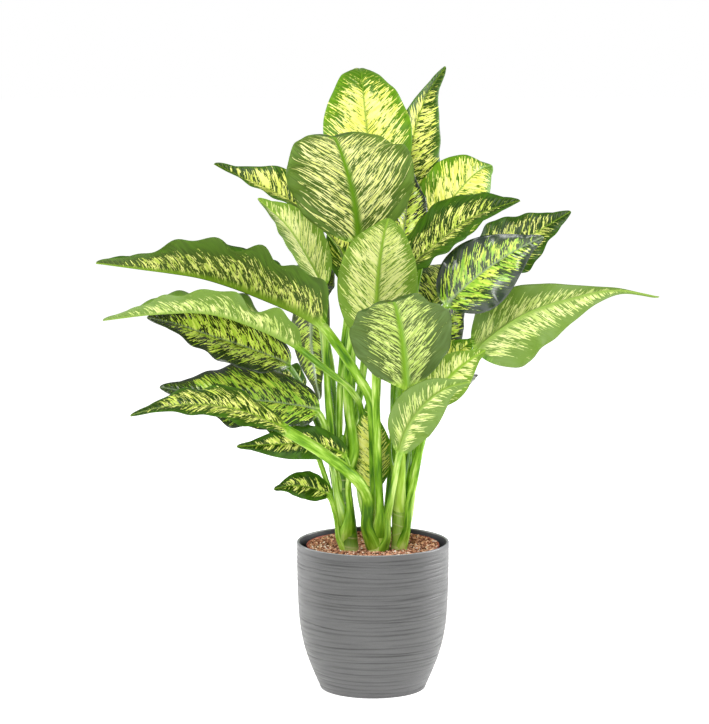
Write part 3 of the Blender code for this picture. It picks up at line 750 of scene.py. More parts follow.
@dataclass(frozen=True)
class CaneFinish:
    """Fleshy green stem: smooth waxy skin with faint lengthwise fibres, pale scars and a dry foot.

    scar and foot are point attributes, 0 to 1, and the fields of those names are their colours.
    """

    name: str
    skin: str
    shaded: str
    foot: str = "#b9c779"
    scar: str = "#c9c48a"

    def make(self) -> bpy.types.Material:
        """Makes the finish.

        Returns:
            The material.
        """
        material, tree = new_material(self.name)
        place = add(tree, "ShaderNodeTexCoord", {}, out=3)
        scar, foot = (add(tree, "ShaderNodeAttribute", {}, out=2, attribute_name=name)
                      for name in ("scar", "foot"))
        fibres = stretched_noise(tree, place, (2.2, 2.2, 45.0), 3.0)
        patches = add(tree, "ShaderNodeTexNoise", {"Vector": place, "Scale": 45.0, "Detail": 3.0})
        grain = add(tree, "ShaderNodeTexNoise", {"Vector": place, "Scale": 1500.0, "Detail": 2.0})
        tone = add(tree, "ShaderNodeMath", {0: fibres, 1: patches}, operation="ADD")
        tone = add(tree, "ShaderNodeMapRange", {0: tone, 1: 0.75, 2: 1.25})
        colour = add(tree, "ShaderNodeMix", {0: tone, 6: self.skin, 7: self.shaded}, **BLEND)
        colour = add(tree, "ShaderNodeMix", {0: foot, 6: colour, 7: self.foot}, **BLEND)
        colour = add(tree, "ShaderNodeMix", {0: scar, 6: colour, 7: self.scar}, **BLEND)
        bump = add(tree, "ShaderNodeBump", {"Height": fibres, "Strength": 0.35, "Distance": 0.5 * MM})
        bump = add(tree, "ShaderNodeBump", {"Height": grain, "Strength": 0.15, "Distance": 0.1 * MM,
                                            "Normal": bump})
        surface = add(tree, "ShaderNodeBsdfPrincipled",
                      {"Base Color": colour, "Roughness": 0.36, "IOR": 1.45, "Normal": bump})
        add(tree, "ShaderNodeOutputMaterial", {"Surface": surface})
        return material


class Tone(Enum):
    """The kinds of leaf on this plant, from the pale young crown to the dark old leaves."""

    CROWN = LeafFinish("leaf_crown_waxy", "#6b9a12", "#4d7a06", "#fbfb94", "#eef06a", "#6f9c1e", 0.27, 0.85,
                       streak=2.8)
    YOUNG = LeafFinish("leaf_young_waxy", "#4e7814", "#2a4a00", "#fafb90", "#dbe562", "#7fa41c", 0.45, 0.86)
    FRONT = LeafFinish("leaf_front_waxy", "#5c8024", "#345602", "#fffeb0", "#f0f28e", "#64920a", 0.49, 0.84,
                       streak=3.1, fleck_length=22.0, clumps=0.26)
    PALE = LeafFinish("leaf_pale_waxy", "#769c2e", "#668e18", "#fafbac", "#dfea84", "#8fb436", 0.30, 0.84,
                      streak=3.0, fleck_length=15.0, clumps=0.30, roughness=0.44)
    HAZY = LeafFinish("leaf_hazy_waxy", "#6a8c34", "#5f8420", "#f0f4a4", "#c2d670", "#86a63a", 0.46, 0.70,
                      streak=3.1, fleck_length=17.0, clumps=0.34, roughness=0.34, gloss=0.5)
    GREEN = LeafFinish("leaf_green_waxy", "#426c0c", "#224000", "#fbfc92", "#c6d858", "#7c9f24", 0.55, 0.84)
    OLIVE = LeafFinish("leaf_olive_waxy", "#4a6830", "#2a4402", "#d8e88a", "#b0c85c", "#76a01e", 0.50, 0.88,
                       streak=2.8, fleck_length=18.0, clumps=0.28,
                       stem=((0.0, "#76a01c"), (0.42, "#9cc238"), (0.72, "#b0d450"), (1.0, "#cfe67c")))
    LIME = LeafFinish("leaf_lime_glossy", "#26322a", "#2a4014", "#d6ea5a", "#92c436", "#8fa377", 0.43, 0.84,
                      streak=3.0, roughness=0.24, gloss=0.6, wax=0.5)
    DARK = LeafFinish("leaf_dark_glossy", "#2b3a24", "#1a2a02", "#ecfa70", "#b8d640", "#87996c", 0.45, 0.84,
                      streak=3.0, roughness=0.22, gloss=0.6, wax=0.5,
                      stem=((0.0, "#3a6206"), (0.42, "#5c8a14"), (0.72, "#76a028"), (1.0, "#98b84c")))


# ---------------------------------------------------------------------------------------------
# Leaves


@dataclass(frozen=True)
class Cane:
    """A rooted stem's axis and its radius along it."""

    axis: np.ndarray
    radius: np.ndarray

    @classmethod
    def of(cls, sections: Sections) -> "Cane":
        """Reads a cane from its sections: ring centres and mean ring radii.

        Args:
            sections: the CAD node's sections.

        Returns:
            The cane.
        """
        centres = sections.rings.mean(axis=1)
        radii = np.linalg.norm(sections.rings - centres[:, None], axis=-1).mean(axis=1)
        return cls(centres, radii)

    def at(self, heights: np.ndarray) -> tuple:
        """Gives the axis points and the radii at these heights."""
        knots = self.axis[:, 2]
        return hermite(knots, self.axis, heights), hermite(knots, self.radius, heights)[:, 0]

    def distance(self, point: np.ndarray) -> float:
        """How far a point lies from the axis, held to the cane's own heights."""
        return float(np.linalg.norm(self.at(point[2:3])[0][0] - point))


@dataclass(frozen=True)
class Leaf:
    """One leaf: a sheath that grows out of its cane, a channelled stalk, and a blade with a thick midrib.

    Every section is one closed line: the upper face from the left edge to the right, then the
    lower face back. On the stalk it is a circle with a channel, on the blade two thin wings and
    a round midrib beneath, and near the collar one passes into the other.

    across, v and x run over a section: x goes from -1 at the left edge to 1 at the right, and
    v = x |x|^0.35 is the share of the half width, so that the columns are denser near the rib.
    droop is in degrees, ruffle a share of the half width; pattern_end and plain_edge move where
    the flecks end along and across the blade.
    """

    name: str
    seed: int
    across: int = 41
    blade_rows: int = 110
    stalk_rows: int = 34
    sheath_rows: int = 16
    stalk_sections: int = 7
    solid_half: float = 0.8 * MM
    thickness: float = 0.8 * MM
    sheath: float = 66 * MM
    soil_gap: float = 29 * MM
    quilt_gap: float = 12 * MM
    quilt_rise: float = 0.32 * MM
    gutter: tuple = (0.35 * MM, 1.1 * MM)
    collar_share: float = 0.030
    round_from: float = 0.88
    ruffle: float = 0.05
    droop: float = 0.0
    pattern_end: float = 1.0
    plain_edge: float = 1.0

    def build(self, frame: dict, canes: list, material: bpy.types.Material) -> None:
        """Makes the leaf's surface from its CAD node and shows it instead.

        Args:
            frame: the loaded frame.
            canes: the canes, one of which bears the leaf.
            material: the finish of the leaf's tone.
        """
        parts = Sections.read(frame["nodes"][self.name], 8)
        rings = self._start_at_left_edge(parts)
        up = unit(rings[:, 2] - rings[:, 6])
        right = unit(rings[:, 4] - rings[:, 0])
        deep = np.linalg.norm(rings[:, 2] - rings[:, 6], axis=1)
        on_stalk = np.arange(len(rings)) < self.stalk_sections
        centre = np.where(on_stalk[:, None], rings.mean(axis=1), rings[:, 2] - self.solid_half * up)
        radius = np.where(on_stalk, deep / 2, deep - 2 * self.solid_half)
        line = np.vstack([centre, parts.tip])
        reach = lengths_along(line)
        collar = reach[self.stalk_sections - 1]

        # Rows: the stalk, then the blade, denser at its base and tip.
        p = np.linspace(0.0, 1.0, self.blade_rows + 2)[1:-1]
        share = (1 - np.cos(np.pi * p)) / 2
        rows_at = np.concatenate([np.linspace(0.0, collar, self.stalk_rows),
                                  collar + share * (reach[-1] - collar)])
        on_blade = np.concatenate([np.zeros(self.stalk_rows), share])
        middle = hermite(reach, line, rows_at)
        ups = unit(hermite(reach[:-1], up, rows_at))
        rights = unit(hermite(reach[:-1], right, rows_at))
        rights = unit(rights - (rights * ups).sum(axis=1, keepdims=True) * ups)
        radii = hermite(reach[:-1], radius, rows_at)[:, 0]

        x = np.linspace(-1.0, 1.0, self.across)
        v = np.sign(x) * np.abs(x) ** 1.35
        wings, wide = self._wings(rings, centre, reach, p)
        base = np.repeat(middle[:, None], self.across, axis=1)
        base[self.stalk_rows:] += self._section(wings, v)
        widths = np.concatenate([np.zeros(self.stalk_rows), wide])
        out = np.abs(v) * widths[:, None]
        origin = self._vein_origin(rows_at - collar, out, widths)

        above, beneath, sideways = self._skin(x, v, out, radii, on_blade)
        lift = self._lift(on_blade, v, out, widths, origin)
        base += rights[:, None] * sideways[..., None]
        top = base + ups[:, None] * (lift + above)[..., None]
        bottom = base + ups[:, None] * (lift - beneath)[..., None]
        grid = np.concatenate([top, bottom[:, ::-1]], axis=1)
        sheath = self._sheath(grid[0], middle[0], middle[1] - middle[0], canes)
        made = grid_mesh(
            f"grown_{self.name}", np.concatenate([sheath, grid]), (sheath[0].mean(axis=0), parts.tip),
            self._maps(origin, out, on_blade, v), self._masks(out, radii, on_blade))
        show(made, material, "variegated_leaf", self.name)

    @staticmethod
    def _start_at_left_edge(parts: Sections) -> np.ndarray:
        """Turns the rings so that they run left edge, rib top, right edge, rib bottom.

        The widest ring's farthest two points are its edges. The rib stands out further beneath
        than above, and the right edge lies along tangent x up.

        Args:
            parts: the leaf's sections.

        Returns:
            The rings of shape (sections, 8, 3).
        """
        rings = parts.rings
        spans = np.linalg.norm(rings - np.roll(rings, 4, axis=1), axis=-1)
        widest, first = np.unravel_index(np.argmax(spans), spans.shape)
        rings = np.roll(rings, -int(first), axis=1)
        wing_middles = (rings[7:, 1] + rings[7:, 3] + rings[7:, 5] + rings[7:, 7]) / 4
        heights = [np.linalg.norm(rings[7:, k] - wing_middles, axis=1).sum() for k in (2, 6)]
        if heights[0] > heights[1]:
            rings = rings[:, [0, 7, 6, 5, 4, 3, 2, 1]]
        along = rings[-1].mean(axis=0) - rings[widest].mean(axis=0)
        up = rings[widest, 2] - rings[widest, 6]
        if np.dot(np.cross(along, up), rings[widest, 4] - rings[widest, 0]) < 0:
            rings = rings[:, [4, 3, 2, 1, 0, 7, 6, 5]]
        return rings

    def _wings(self, rings: np.ndarray, centre: np.ndarray, reach: np.ndarray, p: np.ndarray) -> tuple:
        """Carries the blade sections' wings over to every row.

        The tip is rounder than the sections make it: from round_from of the length on, the width
        also follows a quarter of an ellipse.

        Args:
            rings: the leaf's rings.
            centre: the rib's point in each ring.
            reach: how far along the leaf each ring and the tip lie.
            p: each blade row's place, 0 to 1, where the share of the length is (1 - cos pi p) / 2.

        Returns:
            The offsets from the rib of the half-way points and the edges, left and right, of shape
            (rows, 4, 3), and the half width of each row.
        """
        blade = self.stalk_sections
        collar, length = reach[blade - 1], reach[-1] - reach[blade - 1]
        share = np.clip((reach[blade:-1] - collar) / length, 0.0, 1.0)
        knots = np.arccos(1 - 2 * share) / np.pi
        flat = rings[blade:]
        mids = np.stack([(flat[:, 1] + flat[:, 7]) / 2, (flat[:, 3] + flat[:, 5]) / 2], axis=1)
        offsets = np.concatenate([mids, flat[:, [0, 4]]], axis=1) - centre[blade:, None]
        width = np.linalg.norm(offsets[:, 2:], axis=-1).mean(axis=1)
        wide = hermite(np.concatenate([[0.0], knots, [1.0]]), np.concatenate([[0.0], width, [0.0]]), p)[:, 0]
        along = (1 - np.cos(np.pi * p)) / 2
        past = np.clip((along - self.round_from) / (1 - self.round_from), 0.0, 1.0)
        end = np.interp(self.round_from, along, wide) * np.sqrt(1 - past**2)
        wide = np.where(past > 0, 0.45 * wide + 0.55 * end, wide)
        shapes = (offsets / width[:, None, None]).reshape(len(knots), -1)
        return hermite(knots, shapes, p).reshape(-1, 4, 3) * wide[:, None, None], wide

    @staticmethod
    def _section(wings: np.ndarray, v: np.ndarray) -> np.ndarray:
        """Bends each half as the parabola through rib, half-way point M and edge E.

        With t = |v|, a point is 4t(1 - t) M + t(2t - 1) E.

        Args:
            wings: M left and right, then E left and right, of shape (rows, 4, 3).
            v: the share of the half width of each column.

        Returns:
            Offsets from the rib, of shape (rows, columns, 3).
        """
        t = np.abs(v)[None, :, None]
        left = (v < 0)[None, :, None]
        mid = np.where(left, wings[:, None, 0], wings[:, None, 1])
        edge = np.where(left, wings[:, None, 2], wings[:, None, 3])
        return 4 * t * (1 - t) * mid + t * (2 * t - 1) * edge

    @staticmethod
    def _vein_origin(along: np.ndarray, out: np.ndarray, widths: np.ndarray) -> np.ndarray:
        """Finds where along the rib the side vein through each point starts.

        Veins run outwards and forwards and bend towards the tip: along - 0.62 out - 0.30 out^2 / width.

        Args:
            along: each row's distance past the collar.
            out: each point's distance from the rib.
            widths: each row's half width.

        Returns:
            Distances past the collar, of shape (rows, columns).
        """
        return along[:, None] - 0.62 * out - 0.30 * out**2 / np.maximum(widths[:, None], 1 * MM)

    def _lift(self, on_blade: np.ndarray, v: np.ndarray, out: np.ndarray, widths: np.ndarray,
              origin: np.ndarray) -> np.ndarray:
        """Works out how far the blade rises from its smooth sections.

        The edge is ruffled by width * |v|^3 * a sum of sines along the blade, the blade is quilted
        by a sine over the side veins' origins, and a drooping leaf falls by out * sqrt |v|.

        Args:
            on_blade: each row's share of the blade's length, 0 on the stalk.
            v: the share of the half width of each column.
            out: each point's distance from the rib.
            widths: each row's half width.
            origin: where each point's side vein starts.

        Returns:
            Heights of shape (rows, columns).
        """
        rng = np.random.default_rng(self.seed)
        frill = np.where(v[None, :] < 0, ripple(on_blade, (2.3, 4.1, 6.4), rng)[:, None],
                         ripple(on_blade, (2.0, 4.6, 5.9), rng)[:, None])
        calm = 1 - 0.8 * smoothstep(on_blade, 0.70, 1.0)[:, None]
        quilt = np.sin(TURN * (origin / self.quilt_gap))
        fall = np.sin(np.radians(self.droop)) * smoothstep(on_blade, 0.34, 0.66)[:, None]
        return (frill * calm * self.ruffle * widths[:, None] * np.abs(v) ** 3
                + self.quilt_rise * quilt * smoothstep(np.abs(v), 0.06, 0.3) * (1 - np.abs(v)) ** 0.7
                - fall * out * np.abs(v) ** 0.5)

    def _skin(self, x: np.ndarray, v: np.ndarray, out: np.ndarray, radii: np.ndarray,
              on_blade: np.ndarray) -> tuple:
        """Gives the section its body: a channelled circle on the stalk, thin wings and a rib on the blade.

        The circle is r (cos theta, sin theta) with theta = pi (1 - x) / 2. The rib beneath is
        r exp(-(out / 0.8 r)^2). The one passes into the other by exp(-share / collar_share).

        Args:
            x: each column's place, -1 to 1.
            v: the share of the half width of each column.
            out: each point's distance from the rib.
            radii: the stalk's or rib's radius in each row.
            on_blade: each row's share of the blade's length, 0 on the stalk.

        Returns:
            How far the upper face lies above, the lower face beneath, and both sideways.
        """
        round_share = np.where(on_blade > 0, np.exp(-on_blade / self.collar_share), 1.0)[:, None]
        theta = np.pi / 2 * (1 - x)[None, :]
        channel = 1 - 0.24 * np.exp(-((x / 0.30) ** 2))[None, :] * smoothstep(on_blade[:, None], -0.5, 0.0)
        circle_up = np.sin(theta) * radii[:, None] * round_share
        sideways = np.cos(theta) * radii[:, None] * round_share
        skin = self.thickness / 2 * (1 - 0.72 * np.abs(v) ** 6)[None, :] * np.ones_like(out)
        ridge = radii[:, None] * np.exp(-((out / (0.80 * radii[:, None] + 0.3 * MM)) ** 2))
        depth, width = self.gutter
        groove = depth * np.exp(-((out / width) ** 2))
        above = (skin - groove) * (1 - round_share) + circle_up * channel
        beneath = (skin + ridge) * (1 - round_share) + circle_up
        return above, beneath, sideways

    def _sheath(self, ring: np.ndarray, middle: np.ndarray, rise: np.ndarray, canes: list) -> np.ndarray:
        """Makes the sections below the stalk's foot, where it widens into a sleeve round its cane.

        Going down, the centre leaves along the stalk's own slope and bends to the cane's axis,
        as a cubic, and the section grows to the cane's girth and a little more; the last few
        sections shrink again, so that the sleeve ends in the cane.

        Args:
            ring: the stalk's lowest section.
            middle: its centre.
            rise: the step from its centre to the next.
            canes: the canes; the nearest bears the leaf.

        Returns:
            Sections from the sleeve's end up, of shape (sheath_rows, columns, 3).
        """
        cane = min(canes, key=lambda one: one.distance(middle))
        depth = min(self.sheath, max(middle[2] - cane.axis[0, 2] - self.soil_gap, 9 * MM))
        fall = np.linspace(1.0, 0.0, self.sheath_rows + 1)[:-1]
        axis, girth = cane.at(middle[2] - fall * depth)
        apart = middle - cane.at(middle[2:3])[0][0]
        size = np.linalg.norm(ring - middle, axis=1).mean()
        slide = min(0.93, 0.48 * depth / np.linalg.norm(apart))
        sunk = smoothstep(fall, 0.0, 1.0 if slide < 0.9 else 0.8)

        down = fall[:, None]
        slope = -rise[:2] / max(rise[2], 1e-6) * depth
        slope = slope * min(1.0, 0.9 * depth / max(np.linalg.norm(slope), 1e-9))
        last = axis[-1, :2] + apart[:2] * (1 - slide)
        lean = axis[-1, :2] - axis[0, :2]
        level = ((2 * down**3 - 3 * down**2 + 1) * middle[:2] + (down**3 - 2 * down**2 + down) * slope
                 + (3 * down**2 - 2 * down**3) * last + (down**3 - down**2) * lean)
        centres = np.column_stack([level, axis[:, 2] + apart[2] * (1 - slide * sunk)])

        sleeve = 1.06 + 0.04 * np.sin(1.9 * self.seed) - 0.20 * smoothstep(fall, 0.74, 1.0)
        scale = 1 + (sleeve * girth / size - 1) * sunk * slide
        offsets = ring - middle
        flat = offsets * (1.0, 1.0, 0.0)
        flat = flat / np.maximum(np.linalg.norm(flat, axis=1, keepdims=True), 1e-6) * size
        turning = offsets[None] * (1 - sunk)[:, None, None] + flat[None] * sunk[:, None, None]
        return centres[:, None] + turning * scale[:, None, None]

    @staticmethod
    def _both_faces(top: np.ndarray, bottom: np.ndarray, before: int, after: int) -> np.ndarray:
        """Joins values of the upper and the lower face, and repeats the end rows.

        Args:
            top: values on the upper face, left to right.
            bottom: values on the lower face, left to right.
            before: how many copies of the first row come before it.
            after: how many copies of the last row follow it.

        Returns:
            Values round each whole section.
        """
        loop = np.concatenate([top, bottom[:, ::-1]], axis=1)
        first, last = np.repeat(loop[:1], before, axis=0), np.repeat(loop[-1:], after, axis=0)
        return np.concatenate([first, loop, last])

    def _maps(self, origin: np.ndarray, out: np.ndarray, on_blade: np.ndarray, v: np.ndarray) -> dict:
        """Makes the UV maps, each 0.83 m further along on the right half, whose flecks so differ.

        Args:
            origin: where each point's side vein starts.
            out: each point's distance from the rib.
            on_blade: each row's share of the blade's length, 0 on the stalk.
            v: the share of the half width of each column.

        Returns:
            Veins (vein origin, distance out) in metres and blade (share along, share out), each
            with the shift of each column's faces.
        """
        lead = self.sheath_rows
        round_stalk = np.abs(v)[None, :] * 6 * MM * (on_blade[:, None] <= 0)
        veins = np.stack([origin + 1.7 * self.seed, out + round_stalk], axis=-1)
        veins = self._both_faces(veins, veins, lead + 1, 1)
        veins[:lead + 1, :, 0] -= np.linspace(0.05, 0.0, lead + 1)[:, None]
        shares = np.stack(np.broadcast_arrays(on_blade[:, None] / self.pattern_end,
                                              self.plain_edge * np.abs(v)[None, :]), axis=-1)
        rib = (self.across - 1) // 2
        column = np.arange(2 * self.across)[:, None]
        shift = np.where((column >= rib) & (column < self.across + rib), np.array([[0.83, 0.0]]), 0.0)
        return {"veins": (veins, shift),
                "blade": (self._both_faces(shares, shares, lead + 1, 1), np.zeros_like(shift))}

    def _masks(self, out: np.ndarray, radii: np.ndarray, on_blade: np.ndarray) -> dict:
        """Makes the point attributes underside, rib (the midrib's own skin) and stalk, each 0 to 1.

        Args:
            out: each point's distance from the rib.
            radii: the rib's radius in each row.
            on_blade: each row's share of the blade's length, 0 on the stalk.

        Returns:
            Values by name.
        """
        fade = 0.05
        thick = radii[:, None] * 1.05 + 0.2 * MM
        flare = 0.12 + 0.85 * np.exp(-on_blade / fade)[:, None]
        below = np.exp(-((out / thick) ** 4))
        above = np.exp(-((out / (0.9 * MM + flare * radii[:, None])) ** 2)) * 0.9
        stalk = np.broadcast_to(1 - smoothstep(on_blade, 0.0, fade)[:, None], out.shape)
        faces = {"underside": (np.zeros_like(out), np.ones_like(out)), "rib": (above, below),
                 "stalk": (stalk, stalk)}
        return {name: self._both_faces(*values, self.sheath_rows, 0) for name, values in faces.items()}


# Which leaves, by number, have which tone.
TONES = {
    Tone.CROWN: (1, 6, 20, 27),
    Tone.YOUNG: (2, 4, 33, 29),
    Tone.FRONT: (3,),
    Tone.PALE: (5, 7, 22),
    Tone.HAZY: (11, 14, 21),
    Tone.GREEN: (8, 9, 13, 17, 18, 19, 26, 28, 31),
    Tone.OLIVE: (12,),
    Tone.LIME: (10, 16),
    Tone.DARK: (15, 23, 24, 25, 30, 32),
}

# How some leaves, by number, differ from the common habit.
HABITS = {
    1: {"droop": 24.0, "pattern_end": 0.80},
    3: {"droop": 3.0, "pattern_end": 0.96},
    4: {"ruffle": 0.10},
    6: {"droop": 14.0, "pattern_end": 0.94},
    8: {"plain_edge": 1.22},
    9: {"ruffle": 0.09},
    10: {"plain_edge": 1.08},
    12: {"droop": 9.0, "ruffle": 0.08, "plain_edge": 1.22},
    13: {"ruffle": 0.15, "plain_edge": 1.28},
    14: {"ruffle": 0.12, "plain_edge": 1.16},
    15: {"ruffle": 0.08},
    16: {"ruffle": 0.08},
    18: {"plain_edge": 1.35},
    19: {"plain_edge": 1.2},
}


def build_leaves(frame: dict, canes: list) -> None:
    """Builds every leaf, each in the tone that its number has in TONES.

    Args:
        frame: the loaded frame.
        canes: the canes that bear the leaves.
    """
    finishes = {tone: tone.value.make() for tone in Tone}
    finish_of = {number: finishes[tone] for tone, numbers in TONES.items() for number in numbers}
    for name in sorted(node for node in frame["nodes"] if node.startswith("leaf_")):
        number = int(name.split("_")[1])
        Leaf(name, number, **HABITS.get(number, {})).build(frame, canes, finish_of[number])


# ---------------------------------------------------------------------------------------------
# Pots, mix and canes


@dataclass(frozen=True)
class CombedPot:
    """The outer pot: a turned wall with a round rim, combed in wavy, nearly level grooves."""

    columns: int = 264
    wall_rows: int = 236
    gaps: tuple = (3.6 * MM, 8.6 * MM)
    depths: tuple = (0.35 * MM, 0.85 * MM)
    widths: tuple = (0.75 * MM, 1.6 * MM)
    waver: float = 1.3 * MM
    smooth_rim: float = 5 * MM
    smooth_foot: float = 9 * MM
    floor_round: float = 9 * MM
    foot_round: float = 2.6 * MM
    foot_ring: float = 3 * MM
    pole: float = 4 * MM
    seed: int = 41

    def build(self, frame: dict) -> None:
        """Makes the pot from the levels of its CAD node and shows it instead.

        The profile runs from the middle of the floor inside over the rim to the middle beneath,
        with the floor's corner, the rim and the foot's edge as arcs.

        Args:
            frame: the loaded frame.
        """
        places = corners_of(frame["nodes"]["outer_pot"])
        levels, index = np.unique(np.round(places[:, 2], 4), return_inverse=True)
        radii = np.hypot(places[:, 0], places[:, 1])
        outer = np.array([radii[index == i].max() for i in range(len(levels))])
        inner = np.array([radii[index == i].min() for i in range(len(levels))])
        # The levels of the wall are those where both of its faces have corners.
        walled = outer - inner > MM
        lip = (outer - inner)[walled].mean() / 2
        height, floor = levels[-1], levels[~walled][2]
        crown_z, foot_z = height - lip, levels[1]
        walled[:2] = True

        z_out = np.linspace(crown_z, foot_z, self.wall_rows)
        r_out = hermite(levels[walled], outer[walled], z_out)[:, 0]
        z_in = np.linspace(floor + 12 * MM, crown_z, 34)
        r_in = hermite(levels[walled], outer[walled], z_in)[:, 0] - 2 * lip
        turn = np.linspace(np.pi, 0.0, 18)[1:-1]
        corner = np.linspace(0.0, np.pi / 2, 8)[:-1]
        foot = np.linspace(0.0, np.pi / 2, 6)[1:]
        flat = r_in[0] - self.floor_round
        base = r_out[-1] - self.foot_round
        inside_floor = np.linspace(self.pole, flat, 10)
        beneath = np.linspace(base - self.foot_ring, self.pole, 8)
        radii = np.concatenate([
            inside_floor, flat + self.floor_round * np.sin(corner), r_in,
            r_out[0] - lip + lip * np.cos(turn), r_out, base + self.foot_round * np.cos(foot), beneath])
        heights = np.concatenate([
            np.full_like(inside_floor, floor), floor + self.floor_round * (1 - np.cos(corner)), z_in,
            crown_z + lip * np.sin(turn), z_out, foot_z * (1 - np.sin(foot)), np.zeros_like(beneath)])
        lead = len(inside_floor) + len(corner) + len(z_in) + len(turn)
        groove = np.zeros((len(radii), self.columns))
        groove[lead:lead + self.wall_rows] = self._grooves(z_out, height)
        # inside marks the faces within the pot; the finish paints them a darker grey as painted shade.
        inside = np.zeros_like(groove)
        inside[:lead - len(turn)] = 1.0
        # groove also sets how much painted shade the finish puts into each groove.
        made = turned("combed_pot", radii[:, None] - groove, heights, self.columns,
                      {"groove": groove / self.depths[1], "inside": inside})
        show(made, ClayFinish().make(), "grey_pot", "outer_pot")

    def _grooves(self, z: np.ndarray, height: float) -> np.ndarray:
        """Works out how deep the comb went at each height and angle.

        Each groove is d exp(-((z - c) / w)^2); its middle c, depth d and width w change slowly
        with the angle in whole waves, so that every groove meets itself.

        Args:
            z: the wall rows' heights.
            height: the pot's height.

        Returns:
            Depths of shape (rows, columns).
        """
        rng = np.random.default_rng(self.seed)
        share = np.arange(self.columns) / self.columns
        deep = np.zeros((len(z), self.columns))
        level = self.smooth_foot
        while level < height - self.smooth_rim:
            middle = level + self.waver * ripple(share, (1, 2, 3), rng)
            depth = rng.uniform(*self.depths) * (0.72 + 0.38 * ripple(share, (1, 2, 5), rng))
            width = rng.uniform(*self.widths) * (1.0 + 0.2 * ripple(share, (2, 3), rng))
            dip = np.maximum(depth, 0.0) * np.exp(-(((z[:, None] - middle) / width) ** 2))
            deep = np.maximum(deep, dip) + 0.3 * np.minimum(deep, dip)
            level += rng.uniform(*self.gaps)
        fade = smoothstep(height - z, self.smooth_rim * 0.45, self.smooth_rim * 1.1)
        return deep * fade[:, None]


@dataclass(frozen=True)
class NurseryPot:
    """The grower's pot: its CAD solid, dressed, with a rolled lip round its rim.

    The wall is wall thick and leans in by draft for each unit down; roll is the lip's radius, and
    skirt is how far the lip's piece reaches down both faces of the wall.
    """

    columns: int = 160
    wall: float = 1.5 * MM
    roll: float = 1.1 * MM
    sunk: float = 0.4 * MM
    skirt: float = 9 * MM
    draft: float = 0.137

    def build(self, frame: dict) -> None:
        """Dresses the CAD node and adds the lip: an arc of 1.3 half turns over the wall's top.

        Args:
            frame: the loaded frame.
        """
        node = frame["nodes"]["nursery_pot"]
        plastic = TerracottaFinish().make()
        node.data.materials.clear()
        node.data.materials.append(plastic)
        corners = corners_of(node)
        radius, height = np.hypot(corners[:, 0], corners[:, 1]).max(), corners[:, 2].max()
        around = np.linspace(-0.15 * np.pi, 1.15 * np.pi, 17)
        down = self.skirt * np.linspace(0.0, 1.0, 8)[1:]
        middle = radius - self.wall / 2
        inner, outer = middle - 1.0 * MM, middle + 0.85 * MM
        rolled = height - self.sunk + self.roll * np.sin(around)
        radii = np.concatenate([middle + self.roll * np.cos(around),
                                inner - self.draft * down, outer - self.draft * down[::-1]])
        heights = np.concatenate([rolled, rolled[-1] - down, rolled[0] - down[::-1]])
        lip = turned("nursery_pot_lip", radii, heights, self.columns, {}, hoop=True)
        show(lip, plastic, "terracotta_plastic")


